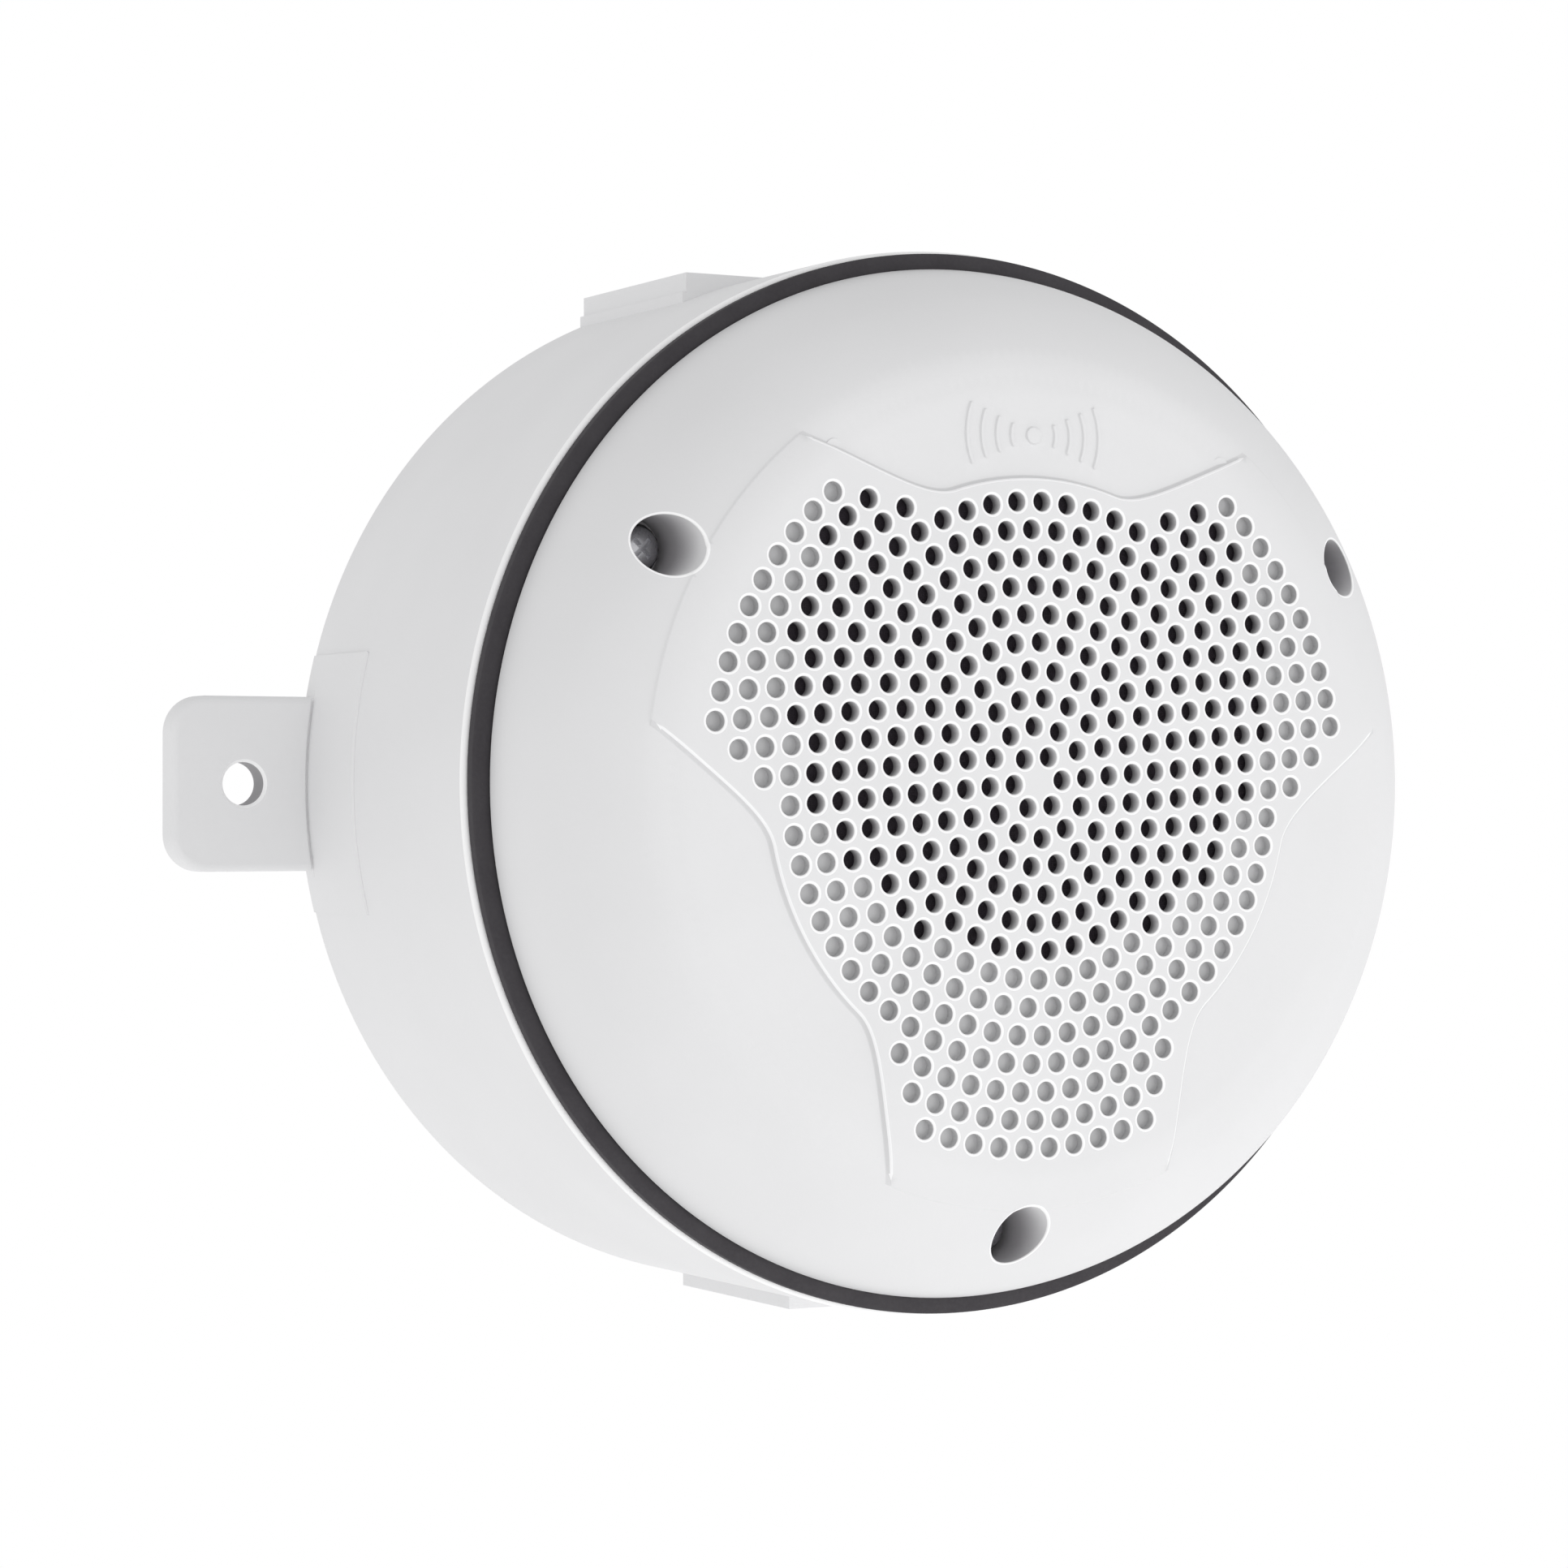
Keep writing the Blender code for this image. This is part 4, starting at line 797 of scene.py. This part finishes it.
def make_cover(mats):
    """Front cover: domed skin with lobes, petals, holes, dimples, wells, screw tubes and inner posts."""
    skin = Skin()
    outer_rim, inner_rim = rim_rings(skin)
    holes = hole_places()
    is_open = [hypot(x, z - SPEAKER_Z) < OPEN_RADIUS for x, z in holes]
    wells = [polar(SCREW_CIRCLE, angle) for angle in LOBE_ANGLES]
    loops = [circle_points(place, HOLE_RADIUS + HOLE_LIP[0], HOLE_STEPS) for place in holes]
    loops += [circle_points(place, WELL_RADIUS + WELL_LIP[0], WELL_STEPS) for place in wells]
    rings = fill_rings(2.3, 2.4, np.arange(62.6, MESHED_RADIUS - 0.6, 0.9), 216)
    outer = triangulate(skin, outer_rim, loops, relief_lines(), rings, 0.55, skin_drop, 1)
    # painted highlight along the field's side of each petal's inner edge, and painted shade at the step's
    # foot
    x, _, z = np.array([np.mean([skin.points[corner] for corner in face], axis=0) for face in skin.faces]).T
    past = into_petal(x, z)
    for finish, (low, high) in (("brow_white", PETAL_HIGHLIGHT_BAND), ("foot_grey", PETAL_SHADE_BAND)):
        for index in np.flatnonzero((past > low) & (past < high) & (np.hypot(x, z) < FIELD_EDGE)):
            skin.finishes[index] = finish

    through = [place for place, open_hole in zip(holes, is_open) if open_hole]
    loops = [circle_points(place, HOLE_RADIUS, HOLE_STEPS) for place in through]
    loops += [circle_points(place, TUBE_RADIUS, WELL_STEPS) for place in wells]
    loops += [circle_points(place, POST_RADIUS, HOLE_STEPS) for place in POST_PLACES]
    rings = fill_rings(3.5, 3.5, np.arange(62.5, INNER_MESHED_RADIUS - 1.0, 1.8), 144)
    inner = triangulate(skin, inner_rim, loops, [], rings, 0.9, inner_drop, -1)

    behind = iter(inner[:len(through)])
    inward = outward(HOLE_STEPS, -1, 0)
    for (loop, normals), place, open_hole in zip(outer, holes, is_open):
        edge, facing = lip_and_wall(skin, place, HOLE_RADIUS, HOLE_LIP, loop, normals)
        if open_hole:
            # bore wall with painted shade, light at the mouth and dark deep inside
            skin.band(edge, next(behind)[0], facing, inward, "bore_grey")
            continue
        # dimple's wall and floor in a painted-shade grey
        floor = sunk_circle(skin, place, HOLE_RADIUS, HOLE_STEPS, depth=DIMPLE_DEPTH)
        skin.band(edge, floor, facing, inward, "dimple_grey")
        skin.add_face(tuple(floor), finish="dimple_grey")
    tubes = inner[len(through):len(through) + len(wells)]
    for (loop, normals), place, (tube, _) in zip(outer[len(holes):], wells, tubes):
        add_well(skin, place, loop, normals, tube)
    for (base, _), place in zip(inner[len(through) + len(wells):], POST_PLACES):
        add_post(skin, place, base)
    return skin.make("cover_shell", mats)


def add_well(skin, place, loop, normals, tube):
    """Screw well through the dome, its floor with the screw's hole, and the tube behind it."""
    inward, away = outward(WELL_STEPS, -1, 0), outward(WELL_STEPS, 1, 0)
    edge, facing = lip_and_wall(skin, place, WELL_RADIUS, WELL_LIP, loop, normals)
    floor = sunk_circle(skin, place, WELL_RADIUS, WELL_STEPS, y=WELL_FLOOR_Y)
    hole = sunk_circle(skin, place, SCREW_HOLE_RADIUS, WELL_STEPS, y=WELL_FLOOR_Y)
    hole_end = sunk_circle(skin, place, SCREW_HOLE_RADIUS, WELL_STEPS, y=COVER_HIGH.y)
    tube_end = sunk_circle(skin, place, TUBE_RADIUS, WELL_STEPS, y=COVER_HIGH.y)
    # well wall and floor with painted shade, darker deeper in
    skin.band(edge, floor, facing, inward, "well_grey")
    skin.band(floor, hole, finish="well_grey")
    skin.band(hole, hole_end, inward, inward)
    skin.band(hole_end, tube_end)
    skin.band(tube_end, tube, away, away)


def add_post(skin, place, base):
    """Hollow post on the inner skin, for a screw from behind."""
    inward, away = outward(HOLE_STEPS, -1, 0), outward(HOLE_STEPS, 1, 0)
    end = sunk_circle(skin, place, POST_RADIUS, HOLE_STEPS, y=POST_END_Y)
    mouth = sunk_circle(skin, place, PILOT_RADIUS, HOLE_STEPS, y=POST_END_Y)
    floor = sunk_circle(skin, place, PILOT_RADIUS, HOLE_STEPS, y=PILOT_FLOOR_Y)
    skin.band(end, base, away, away)
    skin.band(mouth, end)
    skin.band(floor, mouth, inward, inward)
    skin.add_face(tuple(floor[::-1]))


# Back box

def ear_loop(side, y, inset):
    """Tab with two rounded outer corners, from inside the box wall to its reach."""
    root, half = BOX_RADIUS - BOX_WALL / 2, EAR_HALF_HEIGHT - inset
    corner = EAR_CORNER - inset
    points = [(root, -half)]
    for end, first in ((-1, -90), (1, 0)):
        centre = (EAR_REACH - EAR_CORNER, end * (EAR_HALF_HEIGHT - EAR_CORNER))
        for k in range(13):
            u, v = polar(corner, radians(first + 7.5 * k))
            points.append((centre[0] + u, centre[1] + v))
    points.append((root, half))
    return [(side * x, y, z) for x, z in points]


def add_ear(box, side, label):
    """Ear, the panel and the groove at its root, and its screw hole."""
    outer, inner = BOX_RADIUS + PANEL_PROUD, BOX_RADIUS - BOX_WALL / 2
    half = asin(PANEL_HALF_HEIGHT / outer)
    sweep = [half * (k / 10 - 1) for k in range(21)]

    def arc_loop(high, low, share, y):
        points = [polar(high, angle * share) for angle in sweep]
        points += [polar(low, angle * share) for angle in sweep[::-1]]
        return [(side * x, y, z) for x, z in points]

    panel = [arc_loop(outer, inner, 1, PANEL_BACK_Y),
             arc_loop(outer, inner, 1, PANEL_FRONT_Y + PANEL_ROUND),
             arc_loop(outer - PANEL_ROUND, inner, 1 - PANEL_ROUND / PANEL_HALF_HEIGHT, PANEL_FRONT_Y)]
    combine(box, loft(f"ear_pad_{label}", panel), "UNION")
    loops = [ear_loop(side, 0.0, EAR_CHAMFER), ear_loop(side, -EAR_CHAMFER, 0.0)]
    for turn in QUARTER:
        loops.append(ear_loop(side, EAR_ROUND * (1 - sin(turn)) - EAR_THICKNESS, EAR_ROUND * (1 - cos(turn))))
    combine(box, loft(f"ear_{label}", loops), "UNION")
    groove = [arc_loop(outer + EAR_GROOVE, outer - 0.05, EAR_GROOVE_SHARE, y - EAR_THICKNESS)
              for y in (-0.5, EAR_GROOVE)]
    combine(box, loft(f"ear_root_groove_{label}", groove), "DIFFERENCE")
    outline = [(EAR_HOLE_RADIUS + EAR_HOLE_FLARE, -EAR_THICKNESS - 0.4),
               (EAR_HOLE_RADIUS, -EAR_THICKNESS - 0.4 + EAR_HOLE_FLARE), (EAR_HOLE_RADIUS, 1.0)]
    combine(box, lathe(f"ear_hole_{label}", outline, at=(side * EAR_HOLE_X, 0), steps=64), "DIFFERENCE")


def conduit_lathe(name, side, levels, materials=(), steps=ENTRY_STEPS, ring=False):
    """Solid of revolution about a conduit's axis. levels lists (radius, height above the siren's axis)."""
    outline = [(radius, side * height) for radius, height in levels]
    return lathe(name, outline, materials, (0, CONDUIT_Y), "Z", steps, ring)


def add_conduit_pad(box, label):
    """Flat pad across the box: a plate on a slightly wider base, with a counterbored entry through both."""
    side, face, half_width, entry_radius, counterbore = PADS[label]
    inner, step = face - PAD_THICKNESS, face - PAD_PLATE
    parts = {"plate": (step, face, half_width - PAD_SHOULDER), "base": (inner, step + 0.2, half_width)}
    for name, (near, far, half) in parts.items():
        low, high = sorted((side * near, side * far))
        piece = block(f"pad_{name}_{label}", (-half, -PAD_DEPTH, low), (half, PAD_BACK_Y, high))
        combine(box, piece, "UNION")
    if face < BOX_RADIUS:
        low, high = sorted((side * face, side * (BOX_RADIUS + 3)))
        crown = block(f"crown_cut_{label}", (-half_width - 1, -PAD_DEPTH, low), (half_width + 1, 1, high))
        combine(box, crown, "DIFFERENCE")
    floor = face - COUNTERBORE_DEPTH
    entry = [(entry_radius, inner - 2), (entry_radius, floor), (counterbore, floor),
             (counterbore, face - ENTRY_CHAMFER), (counterbore + 1, face + 1 - ENTRY_CHAMFER)]
    combine(box, conduit_lathe(f"entry_{label}", side, entry), "DIFFERENCE")


def make_box(mats):
    """Back box with rounded rims, ears, ear panels, conduit pads, screw bosses and rear mouldings."""
    inner, back, rim = BOX_RADIUS - BOX_WALL, BOX_BACK_ROUND, BOX_RIM_ROUND
    outline = [(BOX_RADIUS - back, 0)]
    outline += [(BOX_RADIUS - back + back * sin(t), -back + back * cos(t)) for t in (pi / 6, pi / 3, pi / 2)]
    outline += [(BOX_RADIUS - rim + rim * cos(t), PARTING_Y + rim - rim * sin(t)) for t in QUARTER]
    outline += [(LEDGE_RADIUS + LEDGE_CHAMFER, PARTING_Y), (LEDGE_RADIUS, PARTING_Y + LEDGE_CHAMFER),
                (LEDGE_RADIUS, PARTING_Y + 3.0), (inner, PARTING_Y + 7.0), (inner, -BOX_WALL - 2.0),
                (inner - 2.0, -BOX_WALL)]
    box = lathe("box_shell", outline, [mats[finish] for finish in BOX_FINISHES])
    for side, label in ((-1, "left"), (1, "right")):
        add_ear(box, side, label)
    for label in PADS:
        add_conduit_pad(box, label)
    for n, angle in enumerate(LOBE_ANGLES, 1):
        place = polar(SCREW_CIRCLE, angle)
        ends = [(BOSS_RADIUS, PARTING_Y + 0.2), (BOSS_RADIUS, BOSS_BACK_Y)]
        combine(box, lathe(f"box_boss_{n}", ends, at=place, steps=48), "UNION")
        rib = block(f"boss_rib_{n}", (SCREW_CIRCLE, PARTING_Y + 1.2, -RIB_HALF_WIDTH),
                    (BOX_RADIUS - BOX_WALL / 2, RIB_BACK_Y, RIB_HALF_WIDTH))
        rib.rotation_euler = (0, -angle, 0)
        combine(box, rib, "UNION")
        ends = [(SCREW_HOLE_RADIUS, y) for y in PILOT_Y]
        combine(box, lathe(f"box_pilot_{n}", ends, at=place, steps=32), "DIFFERENCE")
    for n, (near, far, depth) in enumerate(REAR_GROOVES, 1):
        outline = [(near, 1.0), (far, 1.0), (far, -depth), (near, -depth)]
        combine(box, lathe(f"rear_groove_{n}", outline, ring=True, steps=192), "DIFFERENCE")
    settle(box)
    # painted highlight on the front rim and the ear holes' flares, painted shade in the ear holes' bores
    for face in box.data.polygons:
        x, y, z = face.center / MM
        finish = "housing_white"
        if y < PARTING_Y + rim and hypot(x, z) > BOX_RADIUS - BOX_RIM_HIGHLIGHT:
            finish = "lip_white"
        facing = abs(face.normal.y)
        if hypot(abs(x) - EAR_HOLE_X, z) < EAR_HOLE_RADIUS + EAR_HOLE_FLARE and facing < 0.9:
            finish = "ear_bore_grey" if facing < 0.3 else "lip_white"
        face.material_index = BOX_FINISHES.index(finish)
    return box


def make_gasket(mats):
    """Moulded rim gasket with rounded front and back edges."""
    front, back, outer, inner = GASKET_LOW.y, GASKET_HIGH.y, GASKET_HIGH.x, GASKET_INNER
    edge, chamfer = GASKET_ROUND, GASKET_CHAMFER
    outline = [(inner, front + chamfer), (inner + chamfer, front)]
    outline += [(outer - edge + edge * sin(t), front + edge - edge * cos(t)) for t in QUARTER]
    outline += [(outer, back - chamfer), (outer - chamfer, back), (inner + chamfer, back),
                (inner, back - chamfer)]
    return lathe("gasket_ring", outline, [mats["gasket_black"]], ring=True)


def make_plugs(mats):
    """Closing plugs of the conduit entries, with a rounded flange and a hexagon socket."""
    for label, (side, face, _, entry_radius, counterbore) in PADS.items():
        flange, body, edge = counterbore - 0.3, entry_radius - 0.4, PLUG_ROUND
        near, seat, top = face - PAD_THICKNESS - 2.0, face - COUNTERBORE_DEPTH + 1.4, face - 0.3
        levels = [(body - 0.8, near), (body, near + 0.8), (body, seat), (flange, seat)]
        levels += [(flange - edge + edge * cos(t), top - edge + edge * sin(t))
                   for t in (0, pi / 6, pi / 3, pi / 2)]
        plug = conduit_lathe(f"plug_{label}", side, levels, [mats["housing_white"]])
        levels = [(SOCKET_RADIUS, top - SOCKET_DEPTH), (SOCKET_RADIUS, top - SOCKET_CHAMFER),
                  (SOCKET_RADIUS + 1.2, top + 1.2 - SOCKET_CHAMFER)]
        combine(plug, conduit_lathe(f"plug_socket_{label}", side, levels, steps=6), "DIFFERENCE")
        (inner, outer), low, high = PLUG_GROOVE, top - PLUG_GROOVE_DEPTH, top + 1
        levels = [(inner, low), (outer, low), (outer, high), (inner, high)]
        combine(plug, conduit_lathe(f"plug_groove_{label}", side, levels, ring=True), "DIFFERENCE")
        yield settle(plug), f"conduit_plug_{label}"


def make_cover_screws(mats):
    """Pan-head cover screws with a crossed recess and a threaded tip."""
    for n in (1, 2, 3):
        low, high = box_of(f"cover_screw_{n}")
        place = ((low.x + high.x) / 2, (low.z + high.z) / 2)
        head, rise, shank = HEAD_RADIUS, HEAD_RISE, SHANK_RADIUS
        seat, tip = low.y + HEAD_HEIGHT, high.y
        outline = [(0.6, low.y)]
        outline += [(head * sin(t), seat - 0.5 - rise * cos(t)) for t in np.linspace(pi / 8, pi / 2, 7)]
        thread = seat + PLAIN_LENGTH
        outline += [(head, seat), (shank, seat), (shank, thread)]
        while thread < tip - 2 * THREAD_PITCH:
            outline += [(shank, thread + 0.3), (shank - THREAD_DEPTH, thread + 0.7)]
            thread += THREAD_PITCH
        outline += [(shank * 0.5, tip)]
        screw = lathe(f"cover_screw_fine_{n}", outline, [mats["screw_steel"]], at=place, steps=48)
        for turn in (0, 1):
            slot = block(f"recess_{n}_{turn}", (-RECESS_REACH, -1.4, -RECESS_HALF_WIDTH),
                         (RECESS_REACH, RECESS_DEPTH, RECESS_HALF_WIDTH), centre=(place[0], low.y, place[1]))
            slot.rotation_euler = (0, pi / 4 + turn * pi / 2, 0)
            combine(screw, slot, "DIFFERENCE")
        yield settle(screw), f"cover_screw_{n}"


# Flexing rings of the loudspeaker

def speaker_point(radius, angle, y=0.0):
    """Point in metres, at this radius and angle from the speaker's axis."""
    return Vector((radius * cos(angle), y, SPEAKER_Z + radius * sin(angle))) * MM


def make_flexing_ring(name, profile, sectors, hold, node, slot, mats):
    """Ring about the speaker's axis, built as separate sectors."""
    steps = FLEXING_STEPS // sectors
    for n in range(sectors):
        angles = [2 * pi * (n + k / steps) / sectors for k in range(steps + 1)]
        bm = bmesh.new()
        rows = [[bm.verts.new(speaker_point(radius, angle, y)) for radius, y in profile] for angle in angles]
        bridge(bm, rows)
        piece = new_object(f"{name}_sector_{n + 1}", bm, [mats[slot]])
        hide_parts(node)
        middle = (angles[0] + angles[-1]) / 2
        speaker_point(hold[0], middle)
        speaker_point(hold[1], middle)
        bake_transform(piece)


def make_surround(mats):
    """Rubber half roll, glued to the cone's front edge and to the basket's flange."""
    turns = np.linspace(0, pi, ROLL_SAMPLES)
    front, back = SURROUND_FRONT_Y, SURROUND_FRONT_Y + ROLL_THICKNESS
    half, rise = ROLL_HALF_WIDTH - ROLL_THICKNESS, ROLL_RISE - ROLL_THICKNESS
    near, far = SURROUND_MIDDLE - SURROUND_LIP, SURROUND_MIDDLE + SURROUND_LIP
    lap = front - CONE_LAP_THICKNESS
    profile = [(near, back), (near, front), (CONE_LAP_RADIUS, front), (CONE_LAP_RADIUS, lap),
               (near + CONE_LAP_REACH, lap)]
    profile += [(SURROUND_MIDDLE - ROLL_HALF_WIDTH * cos(t), front - ROLL_RISE * sin(t)) for t in turns[1:-1]]
    profile += [(far - SURROUND_RIM, front), (far, front), (far, back)]
    profile += [(SURROUND_MIDDLE + half * cos(t), back - rise * sin(t)) for t in turns]
    make_flexing_ring("surround", profile, SURROUND_SECTORS, SURROUND_HOLD, "cone_surround", "inner_rubber",
                      mats)


def make_spider(mats):
    """Corrugated cloth ring that centres the voice coil."""
    front = [(COIL_LAP_RADIUS, SPIDER_Y - SPIDER_WAVE)]
    for t in np.linspace(0, 1, WAVE_SAMPLES):
        front.append((SPIDER_INNER + SPIDER_WIDTH * t, SPIDER_Y - SPIDER_WAVE * cos(pi * SPIDER_WAVES * t)))
    profile = front + [(radius, y + SPIDER_THICKNESS) for radius, y in front[::-1]]
    make_flexing_ring("spider", profile, SPIDER_SECTORS, SPIDER_HOLD, "spider", "spider_cloth", mats)


# Set-up

def dress_nodes(mats):
    """Gives every CAD node that still shows the material of its slot in the record."""
    for part in frame["record"]["subparts"]:
        node = frame["nodes"][part["node"]]
        material = mats[part["material_slot"]]
        if not node.material_slots:
            node.data.materials.append(material)
        for slot in node.material_slots:
            slot.material = material


def take_over(piece, node):
    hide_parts(node)
    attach(piece, "housing")


def make_camera():
    data = bpy.data.cameras.new("camera")
    data.lens, data.sensor_width = CAMERA_LENS, CAMERA_SENSOR
    camera = add_object("camera", data)
    forward = Vector(CAMERA_FORWARD).normalized()
    right = forward.cross(Vector((0, 0, 1))).normalized()
    up = right.cross(forward)
    turn = Matrix((right, up, -forward)).transposed().to_4x4()
    camera.matrix_world = Matrix.Translation(CAMERA_AT) @ turn
    bpy.context.scene.camera = camera


def make_floor():
    """Pale round floor well below the siren, which hangs at its height on a wall."""
    bm = bmesh.new()
    bmesh.ops.create_circle(bm, cap_ends=True, segments=96, radius=FLOOR_RADIUS)
    floor = new_object("floor", bm)
    floor.location = (0, 0, FLOOR_Z)
    material, _, shader, _ = new_material("pale_floor")
    looks = {"Base Color": (0.86, 0.86, 0.86, 1), "Roughness": 0.9, "Emission Color": (1, 1, 1, 1),
             "Emission Strength": FLOOR_GLOW}
    for name, value in looks.items():
        shader.inputs[name].default_value = value
    floor.data.materials.append(material)


def make_light():
    """White studio: a pure white surround for the camera, and soft light that is strongest from below."""
    scene = bpy.context.scene
    scene.view_settings.view_transform = "Standard"
    world = bpy.data.worlds.new("studio")
    scene.world = world
    world.use_nodes = True
    tree = world.node_tree
    tree.nodes.clear()
    direction = add_node(tree, "TexCoord", {}).outputs["Generated"]
    tilt = add_node(tree, "VectorMath", {0: direction, 1: SOFT_LIGHT_TILT})
    tilt.operation = "DOT_PRODUCT"
    level = add_node(tree, "Math", {0: tilt.outputs["Value"], 1: SOFT_LIGHT})
    lit = add_node(tree, "Background", {"Color": (0.995, 0.995, 1, 1), "Strength": level.outputs[0]})
    shown = add_node(tree, "Background", {"Color": (1, 1, 1, 1)})
    camera_ray = add_node(tree, "LightPath", {}).outputs["Is Camera Ray"]
    mix = add_node(tree, "MixShader", {0: camera_ray, 1: lit.outputs[0], 2: shown.outputs[0]})
    add_node(tree, "OutputWorld", {"Surface": mix.outputs[0]})
    data = bpy.data.lights.new("key", "AREA")
    data.shape, data.size, data.energy = "DISK", KEY_SIZE, KEY_POWER
    light = add_object("key", data)
    light.location = KEY_PLACE
    light.rotation_euler = (-Vector(KEY_PLACE)).to_track_quat("-Z", "Y").to_euler()


def main():
    mats = make_materials()
    dress_nodes(mats)
    take_over(make_cover(mats), "front_cover")
    take_over(make_box(mats), "back_box")
    take_over(make_gasket(mats), "rim_gasket")
    for plug, node in make_plugs(mats):
        take_over(plug, node)
    for screw, node in make_cover_screws(mats):
        take_over(screw, node)
    make_surround(mats)
    make_spider(mats)
    make_camera()
    make_floor()
    make_light()


main()
